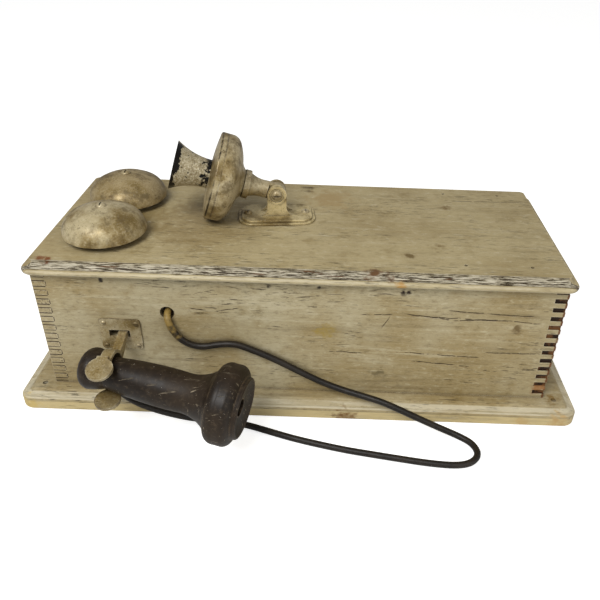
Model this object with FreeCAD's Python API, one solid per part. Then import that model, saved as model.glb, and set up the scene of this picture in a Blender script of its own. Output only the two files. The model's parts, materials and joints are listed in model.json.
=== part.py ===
"""Antique wooden magneto wall telephone, lying on its back.

Millimetres. The origin is the centre of the backboard's flat back, which lies on the surface.
+X points to the telephone's foot, +Z away from the wall, and -Y to the side with the switch hook.
"""

import FreeCAD, Part
import math
import os

V = FreeCAD.Vector
X = V(1, 0, 0)
Y = V(0, 1, 0)
Z = V(0, 0, 1)

# Case
case_length = 479.5
case_width = 190.7
case_height = 124.3
side_board = 12.0
finger_pitch = 9.56
finger_recess = 1.6

# Backboard and its moulded edge
backboard_margin_x = 29.9
backboard_margin_y = 22.05
backboard_length = case_length + 2 * backboard_margin_x
backboard_width = case_width + 2 * backboard_margin_y
backboard_thick = 17.4
backboard_step = 10.9
backboard_slab = 13.8
slab_round = 2.2
slab_quirk = 1.2
board_corner = 13.0

# Door and its cove and bead
door_over_x = 7.25
door_over_y = 7.85
door_length = case_length + 2 * door_over_x
door_width = case_width + 2 * door_over_y
door_thick = 12.2
door_step = 8.0
bead_r = 2.6
cove_sag = 1.8

# Wall screw holes, and the screw holes that a writing shelf left in the door
wall_hole_r = 2.6
wall_hole_inset_x = 20.05
wall_hole_inset_y = 19.2
shelf_hole_r = 1.7
shelf_hole_deep = 8.0
shelf_from_foot = 62.55
shelf_y = 1.5
shelf_pitch_x = 59.6
shelf_pitch_y = 160.0

# Hinges
hinge_from_end = 74.75
hinge_long = 60.0
knuckle_count = 5
leaf_thick = 1.2
leaf_seat = 9.0
knuckle_r = 2.6
hinge_pin_r = 1.1
hinge_screw_r = 1.4
hinge_screw_long = 9.0
hinge_screw_pitch = 36.0

# Gongs
gong_from_top = 54.45
gong_mid_y = -4.6
gong_pitch = 80.0
gong_r = 38.1
gong_high = 24.3
gong_wall = 1.8
gong_lift = 6.0
post_r = 4.2
stud_r = 2.5
gong_screw_r = 1.5
gong_screw_long = 10.0
gong_screw_head_r = 5.0

# Ringer under the door
ringer_from_top = 34.75
ringer_wide = 22.0
ringer_deep = 52.0
ringer_plate = 2.5
coil_r = 11.0
coil_offset = 14.0
coil_cheek = 1.5
core_r = 4.0
core_proud = 2.0
magnet_bar_wide = 14.0
magnet_bar_thick = 8.0
clapper_deep = 12.5
clapper_pin_r = 1.5
clapper_hub_r = 3.6
hanger_gap = 12.0
hanger_plate = 2.0
armature_long = 40.0
armature_wide = 8.0
armature_thick = 3.0
armature_gap = 2.4
clapper_rod_r = 1.2
clapper_ball_r = 4.0
clapper_slot_x = 8.4
clapper_slot_y = 12.6

# Transmitter bracket
bracket_x = -29.7
bracket_y = 10.5
bracket_turn = 7.0
bracket_length = 76.0
bracket_width = 46.0
bracket_corner = 15.0
bracket_tier = 2.2
bracket_inset = 3.0
tier_round = 0.9
bracket_screw_pitch = 57.5
bracket_screw_head_r = 4.2
bracket_screw_r = 2.0
bracket_screw_long = 10.0
pivot_high = 26.0
lug_r = 9.1
lug_thick = 9.0
ear_thick = 3.5
ear_r = 9.5
ear_foot = 17.0
ear_ring = 2.4
ear_ring_proud = 0.9
pivot_bolt_r = 2.8
bolt_head_r = 5.4
nut_r = 5.6
nut_thick = 4.0
bolt_proud = 3.0

# Transmitter, turned about the arm's axis
arm_tilt = 16.8
arm_r = 8.6
arm_flare_r = 11.8
collar_at = 28.0
collar_long = 5.5
collar_r = 13.9
spigot_r = 8.0
spigot_long = 6.0
shell_r = 42.0
shell_deep = 24.5
shell_neck_r = 12.6
shell_wall = 2.8
diaphragm_thick = 0.6
diaphragm_r = 40.4
button_r = 11.0
face_deep = 9.2
face_rim_deep = 6.4
face_wall = 3.4
mouth_thread_r = 9.0
mouth_thread_long = 3.0
mouth_bore_r = 5.5
mouth_long = 34.3
mouth_root_r = 13.7
mouth_rim_r = 23.4
mouth_wall = 2.0
face_screw_r = 0.9
face_screw_head_r = 1.7
face_screw_long = 1.3
set_screw_r = 1.4
set_screw_head_r = 2.3
set_screw_long = 5.0

# Receiver, turned about its own axis and measured from its tail
tail_from_top = 50.25
tail_out = 40.75
tail_high = 71.2
receiver_turn = -11.9
receiver_dip = -6.4
bulb_r = 18.9
bulb_at = 10.0
waist_r = 14.3
waist_at = 25.7
grip_r = 17.9
grip_at = 93.0
seat_r = 31.0
shell_long = 131.0
bore_r = 12.0
bore_start = 32.0
cup_r = 27.5
cup_deep = 7.0
cap_overlap = 7.2
cap_long = 26.2
cap_wall = 4.7
cap_front_r = 28.2
cap_seat_deep = 1.2
earhole_r = 8.0
ear_disc_thick = 0.4
magnet_leg = 4.5
magnet_slot = 8.0
magnet_broad = 9.0
magnet_seat = 2.0
magnet_shy = 5.0
spool_r = 5.2
spool_long = 12.0
spool_core_r = 2.4
tail_screw_r = 3.9
tail_shank_r = 1.6
tail_shank_long = 10.0
bush_at = 6.0
bush_r = 4.4
bush_reach = 18.7
bush_sunk = 8.0

# Switch hook
fork_play = 3.5
cradle_gap = 0.5
fork_wide = 10.0
fork_thick = 2.8
fork_tilt = 7.0
prong_straight = 5.0
pad_r = 11.5
pad_thick = 2.6
pad_offset = -2.0
pad_reach = 11.5
upper_pad_droop = 11.0
lower_pad_droop = 2.0
lever_z = 79.0
lever_wide = 8.3
lever_thick = 5.5
lever_pivot_in = 33.3
lever_tail = 20.0
lever_tail_wide = 6.0
lever_hub_r = 6.0
lever_travel = 9.15
lever_play = 1.85
lever_side_play = 0.85
wood_slot_room = 2.0
plate_shift = -2.4
plate_drop = 1.0
plate_long = 38.0
plate_high = 33.0
plate_thick = 1.6
plate_corner = 3.0
plate_screw_inset = 4.0
plate_screw_head_r = 2.6
plate_screw_r = 1.2
plate_screw_long = 8.0

# Switch inside the case
switch_plate = 2.0
switch_margin = 10.0
switch_half_high = 17.0
switch_pin_r = 2.0
switch_pin_over = 4.0
spring_count = 3
spring_thick = 0.5
spring_gap = 2.6
spring_wide = 8.0
spring_off = 5.6
insulator_deep = 9.0
insulator_high = 10.0

# Magneto
magneto_x = -60.0
base_thick = 4.0
base_margin = 4.0
rotor_r = 15.0
rotor_long = 52.0
rotor_play = 2.0
rotor_clear = 0.5
rotor_lift = 5.6
rotor_shaft_r = 3.0
rotor_web = 8.0
rotor_slot = 12.0
pole_thick = 11.0
pole_gap = 14.0
pole_over = 2.0
magnet_thick = 10.0
magnet_wide = 17.0
magnet_count = 3
magnet_gap = 1.0
magnet_bend_over = 32.0
end_plate = 3.0
end_plate_over = 12.0
gear_module = 1.0
gear_teeth = 60
pinion_teeth = 12
gear_thick = 6.0
gear_off = 5.0
window_count = 5
window_r = 5.5
window_ring_r = 18.0

# Crank
crank_shaft_r = 4.0
crank_bush_r = 8.0
crank_flange_r = 14.0
crank_flange = 2.5
crank_hub_r = 9.0
crank_hub_long = 11.0
crank_eye_r = 6.5
crank_reach = 50.0
crank_arm_wide = 11.0
crank_arm_thick = 5.0
knob_r = 9.5
knob_long = 32.0
knob_pin_r = 2.5
knob_washer_r = 5.0
knob_washer = 1.7
knob_gap = 1.0

# Batteries and small parts on the backboard
cell_r = 32.5
cell_long = 152.0
cell_pitch = 68.0
stud_pitch = 24.0
cell_stud_r = 3.0
cell_nut_r = 5.0
cell_stud_long = 8.0
coil_x = 20.0
coil_y = -25.0
coil_wound_r = 13.0
coil_end = 32.0
coil_end_thick = 4.0
coil_long = 70.0
condenser_x = 30.0
condenser_y = 48.0
condenser_z = 24.0
block_x = 12.0
block_z = 108.0
block_long = 64.0
block_high = 20.0
block_deep = 8.0
terminal_count = 4
terminal_r = 2.0
terminal_nut_r = 4.0

# Spring catch inside the door
catch_x = 60.0
catch_wide = 22.0
catch_plate = 2.0
catch_high = 12.0
catch_foot = 11.6
catch_gap = 0.8

# Cord
cord_r = 3.1
cord_hole_from_top = 117.95
cord_hole_z = 103.0
cord_hole_r = 6.6
anchor_long = 4.65
anchor_flange_r = 10.0
anchor_flange = 4.0

running = 0.1
touch = 0.3

door_z = backboard_thick + case_height
top_z = door_z + door_thick
half_x = case_length / 2
half_y = case_width / 2
near_corner = V(-half_x, -half_y, 0)
shelf_x = half_x - shelf_from_foot
hinge_x = half_x - hinge_from_end
gong_x = gong_from_top - half_x
ringer_x = ringer_from_top - half_x
cord_hole_x = cord_hole_from_top - half_x
tail = near_corner + V(tail_from_top, -tail_out, tail_high)
inner_x = half_x - side_board
inner_y = half_y - side_board


# Basic forms

def box(x0, x1, y0, y1, z0, z1):
    low = V(min(x0, x1), min(y0, y1), min(z0, z1))
    return Part.makeBox(abs(x1 - x0), abs(y1 - y0), abs(z1 - z0), low)


def rod(r, start, end):
    way = end - start
    return Part.makeCylinder(r, way.Length, start, way)


def through(r, point, way, reach=100.0):
    """A long cutter along an axis, both ways from a point."""
    return rod(r, point - way * reach, point + way * reach)


def tube(r_out, r_in, start, end):
    return rod(r_out, start, end).cut(rod(r_in, start, end))


def fuse(first, *others):
    return first.multiFuse(list(others)).removeSplitter()


def group(solids):
    return Part.makeCompound(list(solids))


def rounded_plate(length, width, z0, z1, corner):
    plate = box(-length / 2, length / 2, -width / 2, width / 2, z0, z1)
    upright = [e for e in plate.Edges if abs(e.tangentAt(e.FirstParameter).z) > 0.99]
    return plate.makeFillet(corner, upright)


def rim_edges(shape, z):
    near = 1e-4
    return [e for e in shape.Edges if abs(e.BoundBox.ZMin - z) < near and abs(e.BoundBox.ZMax - z) < near]


def outline(start, *steps):
    """A face inside straight steps, each a point, and arcs, each a middle and an end."""
    edges = []
    here = start
    for step in list(steps) + [start]:
        if isinstance(step, tuple):
            edges.append(Part.Arc(here, step[0], step[1]).toShape())
            here = step[1]
        elif (step - here).Length > 1e-6:
            edges.append(Part.LineSegment(here, step).toShape())
            here = step
    return Part.Face(Part.Wire(edges))


def at(s, r):
    """A point of a turned outline: station along the axis and radius."""
    return V(s, r, 0)


def turned(face, origin=V(0, 0, 0), axis=X):
    body = face.revolve(V(0, 0, 0), X, 360)
    body.Placement = FreeCAD.Placement(origin, FreeCAD.Rotation(X, axis))
    return body


def hexagon(r, thick):
    """A nut's blank along Y from the origin."""
    corners = [V(r * math.cos(a), 0, r * math.sin(a)) for a in [math.radians(60 * i) for i in range(7)]]
    return Part.Face(Part.makePolygon(corners)).extrude(Y * thick)


def screw(head_r, shank_r, depth, point, out):
    """A slotted round-head screw: its head stands out of the surface at the point."""
    high = head_r * 0.55
    head = turned(outline(at(0, 0), at(0, head_r), (at(high * 0.7, head_r * 0.75), at(high, 0))), point,
                  out)
    shank = rod(shank_r, point - out * depth, point)
    cut = box(high * 0.6, high * 1.5, -head_r, head_r, -head_r * 0.14, head_r * 0.14)
    cut.Placement = FreeCAD.Placement(point, FreeCAD.Rotation(X, out))
    return fuse(head, shank).cut(cut)


def moulded_board(length, width, z0, z1, edge):
    """A board with a moulded edge: edge goes from the back's rim to the front's, in XZ, outwards
    from the axis of the corner's round."""
    section = outline(V(0, 0, z0), *edge, V(0, 0, z1))
    straight = (length / 2 - board_corner, width / 2 - board_corner)
    pieces = []
    for i in range(4):
        reach, half = straight if i % 2 == 0 else straight[::-1]
        side = section.extrude(Y * 2 * half)
        side.translate(V(reach, -half, 0))
        corner = section.revolve(V(0, 0, 0), Z, 90)
        corner.translate(V(reach, half, 0))
        for piece in (side, corner):
            piece.rotate(V(0, 0, 0), Z, 90 * i)
            pieces.append(piece)
    return fuse(box(-straight[0], straight[0], -straight[1], straight[1], z0, z1), *pieces)


def gear_wheel(teeth, thick, start, first_angle):
    """A spur gear with straight flanks along Y, its first tooth at an angle from +X to +Z."""
    flank = ((-1.15, 0.84), (0.0, 0.66), (0.9, 0.34))
    corners = []
    for i in range(teeth):
        middle = math.radians(first_angle + 360.0 * i / teeth)
        left = [(h, -w) for h, w in flank]
        right = [(h, w) for h, w in reversed(flank)]
        for high, half in left + right:
            r = gear_module * (teeth / 2 + high)
            a = middle + gear_module * half / r
            corners.append(V(start.x + r * math.cos(a), start.y, start.z + r * math.sin(a)))
    return Part.Face(Part.makePolygon(corners + corners[:1])).extrude(Y * thick)


def cord_tube(points, r, name):
    """A tube of straight runs joined by tangent arcs as large as the runs allow."""
    edges = []
    here = points[0]
    length = 0.0
    tightest = math.inf
    for before, corner, after in zip(points, points[1:], points[2:]):
        turn = (corner - before).getAngle(after - corner)
        cut = 0.45 * min((corner - before).Length, (after - corner).Length)
        bend = cut / math.tan(turn / 2)
        way_in = (corner - before).normalize()
        way_out = (after - corner).normalize()
        start = corner - way_in * cut
        end = corner + way_out * cut
        middle = corner + (way_out - way_in).normalize() * (bend / math.cos(turn / 2) - bend)
        edges.append(Part.LineSegment(here, start).toShape())
        edges.append(Part.Arc(start, middle, end).toShape())
        length += (start - here).Length + bend * turn
        tightest = min(tightest, bend)
        here = end
    edges.append(Part.LineSegment(here, points[-1]).toShape())
    length += (points[-1] - here).Length
    circle = Part.Wire(Part.Circle(points[0], points[1] - points[0], r).toShape())
    body = Part.Wire(edges).makePipeShell([circle], True, False)
    ratio = body.Volume / (math.pi * r * r * length)
    print(name, "length", round(length, 1), "least radius", round(tightest, 1), "volume ratio",
          round(ratio, 4))
    return body


parts = {}

# Backboard

slab_top = backboard_slab
slab_edge = [
    V(board_corner - slab_round, 0, 0),
    (V(board_corner - slab_round * 0.29, 0, slab_round * 0.29), V(board_corner, 0, slab_round)),
    V(board_corner, 0, slab_top - slab_round),
    (V(board_corner - slab_round * 0.29, 0, slab_top - slab_round * 0.29),
     V(board_corner - slab_round, 0, slab_top)),
    V(board_corner - slab_round - slab_quirk, 0, slab_top),
    V(board_corner - backboard_step, 0, backboard_thick)]
backboard = moulded_board(backboard_length, backboard_width, 0, backboard_thick, slab_edge)
corners = [(sx, sy) for sx in (-1, 1) for sy in (-1, 1)]
for sx, sy in corners:
    hole = V(sx * (backboard_length / 2 - wall_hole_inset_x),
             sy * (backboard_width / 2 - wall_hole_inset_y), 0)
    backboard = backboard.cut(through(wall_hole_r, hole, Z))
parts["backboard"] = backboard

# Case sides with finger joints

finger_count = 2 * round(case_height / finger_pitch)
finger = case_height / finger_count


def finger_slots(first):
    """Boxes at both ends of the case, over every second finger."""
    for i in range(first, finger_count, 2):
        z = backboard_thick + i * finger
        for sx, sy in corners:
            yield box(sx * half_x, sx * inner_x, sy * half_y, sy * inner_y, z, z + finger)


def long_side(sign):
    side = box(-half_x, half_x, sign * half_y, sign * inner_y, backboard_thick, door_z)
    return side.cut(group(finger_slots(1)))


def end_side(sign):
    end = box(sign * half_x, sign * inner_x, -half_y, half_y, backboard_thick, door_z)
    return end.cut(group(finger_slots(0)))


# The shrunk fingers of the foot end lie back from the near face
foot_end = end_side(1)
for i in range(1, finger_count, 2):
    z = backboard_thick + i * finger
    foot_end = foot_end.cut(box(inner_x, half_x, -half_y, -half_y + finger_recess, z, z + finger))
parts["case_top_end"] = end_side(-1)
parts["case_foot_end"] = foot_end
near_side = long_side(-1)
far_side = long_side(1)

# Hinges at the far edge of the door

axis_y = door_width / 2 + knuckle_r + touch
leaf_in = half_y - leaf_seat
hinge_places = (-hinge_x, hinge_x)
knuckle = hinge_long / knuckle_count
pin_parts = [rod(hinge_pin_r, V(x - hinge_long / 2, axis_y, door_z), V(x + hinge_long / 2, axis_y, door_z))
             for x in hinge_places]


def hinge_leaf(x, upper):
    """One leaf with its knuckles; the upper one hangs in the door."""
    z0 = door_z if upper else door_z - leaf_thick
    z1 = z0 + leaf_thick
    leaf = box(x - hinge_long / 2, x + hinge_long / 2, leaf_in, axis_y - knuckle_r - touch, z0, z1)
    pieces = []
    for i in range(1 if upper else 0, knuckle_count, 2):
        x0 = x - hinge_long / 2 + i * knuckle + running
        x1 = x0 + knuckle - 2 * running
        pieces.append(rod(knuckle_r, V(x0, axis_y, door_z), V(x1, axis_y, door_z)))
        pieces.append(box(x0, x1, leaf_in, axis_y, z0, z1))
    play = running / 2 if upper else 0
    leaf = fuse(leaf, *pieces).cut(through(hinge_pin_r + play, V(x, axis_y, door_z), X))
    return leaf.cut(group(hinge_screws(x, upper)))


def hinge_screws(x, upper):
    """Flush wood screws through a leaf."""
    into = Z if upper else Z * -1
    for sx in (-1, 1):
        place = V(x + sx * hinge_screw_pitch / 2, half_y - leaf_seat / 2, door_z)
        yield rod(hinge_screw_r, place, place + into * hinge_screw_long)


def hinge_seat(x, upper):
    z0 = door_z if upper else door_z - leaf_thick
    return box(x - hinge_long / 2, x + hinge_long / 2, leaf_in, door_width, z0, z0 + leaf_thick)


parts["hinge_case_leaves"] = group([hinge_leaf(x, False) for x in hinge_places] + pin_parts)
parts["hinge_door_leaves"] = group(hinge_leaf(x, True) for x in hinge_places)
parts["hinge_case_screws"] = group(s for x in hinge_places for s in hinge_screws(x, False))
parts["hinge_door_screws"] = group(s for x in hinge_places for s in hinge_screws(x, True))
far_side = far_side.cut(group([hinge_seat(x, False) for x in hinge_places] + [parts["hinge_case_screws"]]))

# Door

bead_top = door_z + 2 * bead_r
cove_start = V(board_corner - bead_r, 0, bead_top)
cove_end = V(board_corner - door_step, 0, top_z)
cove_way = (cove_end - cove_start).normalize()
cove_middle = (cove_start + cove_end) * 0.5 - V(cove_way.z, 0, -cove_way.x) * cove_sag
door_edge = [V(board_corner - bead_r, 0, door_z), (V(board_corner, 0, door_z + bead_r), cove_start),
             (cove_middle, cove_end)]
door = moulded_board(door_length, door_width, door_z, top_z, door_edge)
door = door.cut(group([hinge_seat(x, True) for x in hinge_places] + [parts["hinge_door_screws"]]))
for sx, sy in corners:
    place = V(shelf_x + sx * shelf_pitch_x / 2, shelf_y + sy * shelf_pitch_y / 2, top_z)
    door = door.cut(rod(shelf_hole_r, place - Z * shelf_hole_deep, place + Z))
gong_places = [V(gong_x, gong_mid_y + sy * gong_pitch / 2, top_z) for sy in (-1, 1)]
for place in gong_places:
    door = door.cut(through(stud_r + running, place, Z))
clapper_slot = rounded_plate(clapper_slot_x, clapper_slot_y, door_z - 1, top_z + 1, clapper_slot_x / 4)
clapper_slot.translate(V(ringer_x, gong_mid_y, 0))
door = door.cut(clapper_slot)

# Gongs


def bell_outline(r, h, low):
    """A steep side that rounds over into a nearly flat crown."""
    return outline(at(low, 0), at(low, r), at(0, r), (at(h * 0.42, r * 0.93), at(h * 0.76, r * 0.68)),
                   (at(h * 0.94, r * 0.4), at(h, r * 0.12)), at(h, 0))


def gong(place):
    rim = place + Z * gong_lift
    bell = turned(bell_outline(gong_r, gong_high, 0), rim, Z)
    hollow = turned(bell_outline(gong_r - gong_wall, gong_high - gong_wall, -1), rim, Z)
    return bell.cut(hollow).cut(rod(gong_screw_r + running, place, rim + Z * (gong_high + 1)))


def gong_post(place):
    """A turned standard with a shank through the door."""
    seat = place + Z * (gong_lift + gong_high - gong_wall)
    post = fuse(rod(post_r, place, seat), rod(stud_r, place - Z * door_thick, place))
    return post.cut(rod(gong_screw_r, seat - Z * gong_screw_long, seat))


def gong_screw(place):
    seat = place + Z * (gong_lift + gong_high)
    return screw(gong_screw_head_r, gong_screw_r, gong_wall + gong_screw_long, seat, Z)


parts["gong_near"] = gong(gong_places[0])
parts["gong_far"] = gong(gong_places[1])
parts["gong_posts"] = group(gong_post(p) for p in gong_places)
parts["gong_screws"] = group(gong_screw(p) for p in gong_places)

# Ringer under the door

ringer_low = door_z - ringer_deep
coil_low = ringer_low + ringer_plate
ringer_half = coil_offset + coil_r + touch + ringer_plate
frame_x = (ringer_x - ringer_wide / 2, ringer_x + ringer_wide / 2)
frame_ys = (gong_mid_y - ringer_half, gong_mid_y + ringer_half)
bridge = box(*frame_x, *frame_ys, ringer_low, coil_low)
legs = [box(*frame_x, frame_ys[0], frame_ys[0] + ringer_plate, ringer_low, door_z),
        box(*frame_x, frame_ys[1] - ringer_plate, frame_ys[1], ringer_low, door_z)]
magnet_bar = box(ringer_x - magnet_bar_wide / 2, ringer_x + magnet_bar_wide / 2, *frame_ys,
                 ringer_low - magnet_bar_thick, ringer_low)
parts["ringer_frame"] = group([fuse(bridge, *legs), magnet_bar])
clapper_pivot = V(ringer_x, gong_mid_y, door_z - clapper_deep)
core_top = clapper_pivot.z - armature_thick / 2 - armature_gap


def ringer_coil(y):
    """A wound bobbin on its core."""
    foot = V(ringer_x, y, coil_low)
    head = V(ringer_x, y, core_top - core_proud)
    cheek = Z * coil_cheek
    return fuse(rod(coil_r - coil_cheek, foot, head), rod(coil_r, foot, foot + cheek),
                rod(coil_r, head - cheek, head),
                rod(core_r, foot, V(ringer_x, y, core_top)))


parts["ringer_coils"] = group(ringer_coil(gong_mid_y + sy * coil_offset) for sy in (-1, 1))
half_gap = hanger_gap / 2
hanger_half = clapper_pin_r + 2.5
hangers = [box(ringer_x + s * half_gap, ringer_x + s * (half_gap + hanger_plate), gong_mid_y - hanger_half,
               gong_mid_y + hanger_half, clapper_pivot.z - hanger_half, door_z) for s in (-1, 1)]
pin_reach = X * (half_gap + hanger_plate)
clapper_pin = rod(clapper_pin_r, clapper_pivot - pin_reach, clapper_pivot + pin_reach)
parts["clapper_hanger"] = fuse(clapper_pin, *hangers)
hub_reach = X * (half_gap - touch)
clapper_hub = rod(clapper_hub_r, clapper_pivot - hub_reach, clapper_pivot + hub_reach)
armature_bar = box(ringer_x - armature_wide / 2, ringer_x + armature_wide / 2,
                   gong_mid_y - armature_long / 2,
                   gong_mid_y + armature_long / 2, clapper_pivot.z - armature_thick / 2,
                   clapper_pivot.z + armature_thick / 2)
ball_centre = V(ringer_x, gong_mid_y, top_z + gong_lift)
clapper_ball = Part.makeSphere(clapper_ball_r, ball_centre)
clapper_rod = rod(clapper_rod_r, clapper_pivot + Z * (clapper_pin_r + 1), ball_centre)
parts["clapper_rod"] = fuse(clapper_rod, clapper_ball)
armature = fuse(clapper_hub, armature_bar).cut(through(clapper_pin_r + running / 2, clapper_pivot, X))
parts["clapper_armature"] = armature.cut(clapper_rod)

# Transmitter bracket, first in its own frame: x along it, y along the pivot

tier_tops = (bracket_tier, 2 * bracket_tier)
lower_tier = rounded_plate(bracket_length, bracket_width, 0, tier_tops[0], bracket_corner)
upper_tier = rounded_plate(bracket_length - 2 * bracket_inset, bracket_width - 2 * bracket_inset,
                           tier_tops[0], tier_tops[1], bracket_corner - bracket_inset)
lower_tier = lower_tier.makeFillet(tier_round, rim_edges(lower_tier, tier_tops[0]))
upper_tier = upper_tier.makeFillet(tier_round, rim_edges(upper_tier, tier_tops[1]))
ear_in = lug_thick / 2 + touch
ear_out = ear_in + ear_thick


def ear(sign):
    """A flared ear with a raised ring round its eye."""
    foot = tier_tops[1]
    low = foot + (pivot_high - foot) * 0.48
    flare_x = ear_foot * 0.66
    flare_z = foot + (low - foot) * 0.3
    face = outline(V(-ear_foot, 0, foot), V(ear_foot, 0, foot), (V(flare_x, 0, flare_z), V(ear_r, 0, low)),
                   V(ear_r, 0, pivot_high), (V(0, 0, pivot_high + ear_r), V(-ear_r, 0, pivot_high)),
                   V(-ear_r, 0, low), (V(-flare_x, 0, flare_z), V(-ear_foot, 0, foot)))
    face.translate(Y * (sign * ear_in))
    ring_start = V(0, sign * ear_out, pivot_high)
    ring = tube(ear_r, ear_r - ear_ring, ring_start, ring_start + Y * (sign * ear_ring_proud))
    return fuse(face.extrude(Y * (sign * ear_thick)), ring)


def in_bracket(shape):
    shape.Placement = FreeCAD.Placement(V(bracket_x, bracket_y, top_z), FreeCAD.Rotation(Z, bracket_turn))
    return shape


bracket = fuse(lower_tier, upper_tier, ear(-1), ear(1)).cut(through(pivot_bolt_r, V(0, 0, pivot_high), Y))
bracket_screws = []
for sx in (-1, 1):
    place = V(sx * bracket_screw_pitch / 2, 0, tier_tops[1])
    bracket = bracket.cut(through(bracket_screw_r, place, Z))
    wood_screw = screw(bracket_screw_head_r, bracket_screw_r, tier_tops[1] + bracket_screw_long, place, Z)
    place_turned = FreeCAD.Placement(V(bracket_x, bracket_y, top_z), FreeCAD.Rotation(Z, bracket_turn))
    bracket_screws.append(wood_screw.transformGeometry(place_turned.toMatrix()))
parts["transmitter_bracket"] = in_bracket(bracket)
parts["bracket_screws"] = group(bracket_screws)
parts["door"] = door.cut(parts["bracket_screws"])

turn = math.radians(bracket_turn)
tilt = math.radians(arm_tilt)
pivot = V(bracket_x, bracket_y, top_z + pivot_high)
hinge_way = V(-math.sin(turn), math.cos(turn), 0)
arm_way = V(-math.cos(tilt) * math.cos(turn), -math.cos(tilt) * math.sin(turn), math.sin(tilt))
bolt_start = pivot - hinge_way * ear_out
bolt_end = pivot + hinge_way * (ear_out + nut_thick + bolt_proud)
bolt_head = screw(bolt_head_r, pivot_bolt_r, 1, bolt_start, hinge_way * -1)
parts["pivot_bolt"] = fuse(bolt_head, rod(pivot_bolt_r, bolt_start, bolt_end))
nut = hexagon(nut_r, nut_thick).cut(through(pivot_bolt_r, V(0, 0, 0), Y))
nut.Placement = FreeCAD.Placement(pivot + hinge_way * ear_out, FreeCAD.Rotation(Z, bracket_turn))
parts["pivot_nut"] = nut

# Transmitter, turned about the arm's axis


def on_arm(s, r, around):
    """A point beside the arm's axis, with its angle from the upper side."""
    up = arm_way.cross(hinge_way)
    a = math.radians(around)
    return pivot + arm_way * s + (up * math.cos(a) - hinge_way * math.sin(a)) * r


shell_at = collar_at + collar_long
shell_front = shell_at + shell_deep
arm = turned(outline(at(0, 0), at(0, arm_r), at(12, arm_r),
                     (at(collar_at * 0.79, arm_r + 0.8), at(collar_at, arm_flare_r)),
                     at(collar_at, collar_r), at(shell_at, collar_r), at(shell_at, spigot_r),
                     at(shell_at + spigot_long, spigot_r), at(shell_at + spigot_long, 0)), pivot, arm_way)
half_lug = hinge_way * (lug_thick / 2)
lug = rod(lug_r, pivot - half_lug, pivot + half_lug)
beside_lug = Part.makeSphere(ear_r + 3.5, pivot).cut(rod(100, pivot - half_lug, pivot + half_lug))
arm = fuse(arm.cut(beside_lug), lug).cut(through(pivot_bolt_r + running / 2, pivot, hinge_way))


def radial_screw(s, r, around, head_r, shank_r, depth):
    foot = on_arm(s, r, around)
    return screw(head_r, shank_r, depth, foot, (foot - on_arm(s, 0, around)).normalize())


set_screw = radial_screw(collar_at + collar_long / 2, collar_r, 150, set_screw_head_r, set_screw_r,
                         set_screw_long)
face_screws = [radial_screw(shell_front + 3.0, shell_r, a, face_screw_head_r, face_screw_r, face_screw_long)
               for a in (25, 145, 265)]
parts["transmitter_screws"] = group([set_screw] + face_screws)
parts["transmitter_arm"] = arm.cut(set_screw)


def bowl(depth, r, neck, start):
    """The back shell's form as steps, from its neck to its rim."""
    return [(at(start + depth * 0.12, neck + (r - neck) * 0.1),
             at(start + depth * 0.21, neck + (r - neck) * 0.26)),
            (at(start + depth * 0.31, neck + (r - neck) * 0.56),
             at(start + depth * 0.44, neck + (r - neck) * 0.8)),
            (at(start + depth * 0.59, neck + (r - neck) * 0.945), at(start + depth * 0.82, r))]


cavity_at = shell_at + spigot_long + 6.0
shell = turned(outline(at(shell_at, 0), at(shell_at, shell_neck_r),
                       *bowl(shell_deep, shell_r, shell_neck_r, shell_at),
                       at(shell_front, shell_r), at(shell_front, 0)), pivot, arm_way)
cavity_r = shell_r - shell_wall
cavity = turned(outline(at(cavity_at, 0), at(cavity_at, cavity_r * 0.62),
                        (at(cavity_at + 1.5, cavity_r * 0.9),
                        at(shell_front - 6.5, cavity_r)), at(shell_front + 1, cavity_r),
                        at(shell_front + 1, 0)), pivot, arm_way)
socket = rod(spigot_r + running / 2, pivot + arm_way * (shell_at - 1),
             pivot + arm_way * (shell_at + spigot_long + touch))
parts["transmitter_shell"] = shell.cut(cavity).cut(socket)

disc_front = shell_front + diaphragm_thick
face_front = shell_front + face_deep
rim_front = shell_front + face_rim_deep
face = outline(at(shell_front, diaphragm_r + running), at(shell_front, shell_r),
               at(shell_front + face_rim_deep * 0.69, shell_r),
               (at(shell_front + face_rim_deep * 0.92, shell_r - 0.7), at(rim_front, shell_r - 2.4)),
               (at(face_front - 1.0, shell_r * 0.667), at(face_front, mouth_root_r + 0.8)),
               at(face_front, mouth_thread_r + running),
               at(face_front - face_wall, mouth_thread_r + running),
               (at(face_front - face_wall - 1.0, shell_r * 0.62),
                at(rim_front - face_wall, shell_r * 0.85)),
               at(disc_front, shell_r * 0.87), at(disc_front, diaphragm_r + running))
parts["transmitter_face"] = turned(face, pivot, arm_way).cut(group(face_screws))
parts["transmitter_diaphragm"] = rod(diaphragm_r, pivot + arm_way * shell_front,
                                     pivot + arm_way * disc_front)
parts["carbon_button"] = rod(button_r, pivot + arm_way * cavity_at, pivot + arm_way * shell_front)
mouth_end = face_front + mouth_long
mouth_mid = face_front + mouth_long * 0.55
horn = outline(at(face_front - mouth_thread_long, mouth_bore_r),
               at(face_front - mouth_thread_long, mouth_thread_r),
               at(face_front, mouth_thread_r), at(face_front, mouth_root_r),
               (at(mouth_mid, mouth_root_r + 2.6), at(mouth_end, mouth_rim_r)),
               at(mouth_end, mouth_rim_r - mouth_wall * 0.8),
               (at(mouth_mid, mouth_root_r + 2.6 - mouth_wall), at(face_front + 6, mouth_bore_r + 2)))
parts["mouthpiece"] = turned(horn, pivot, arm_way)

# Receiver

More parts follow.
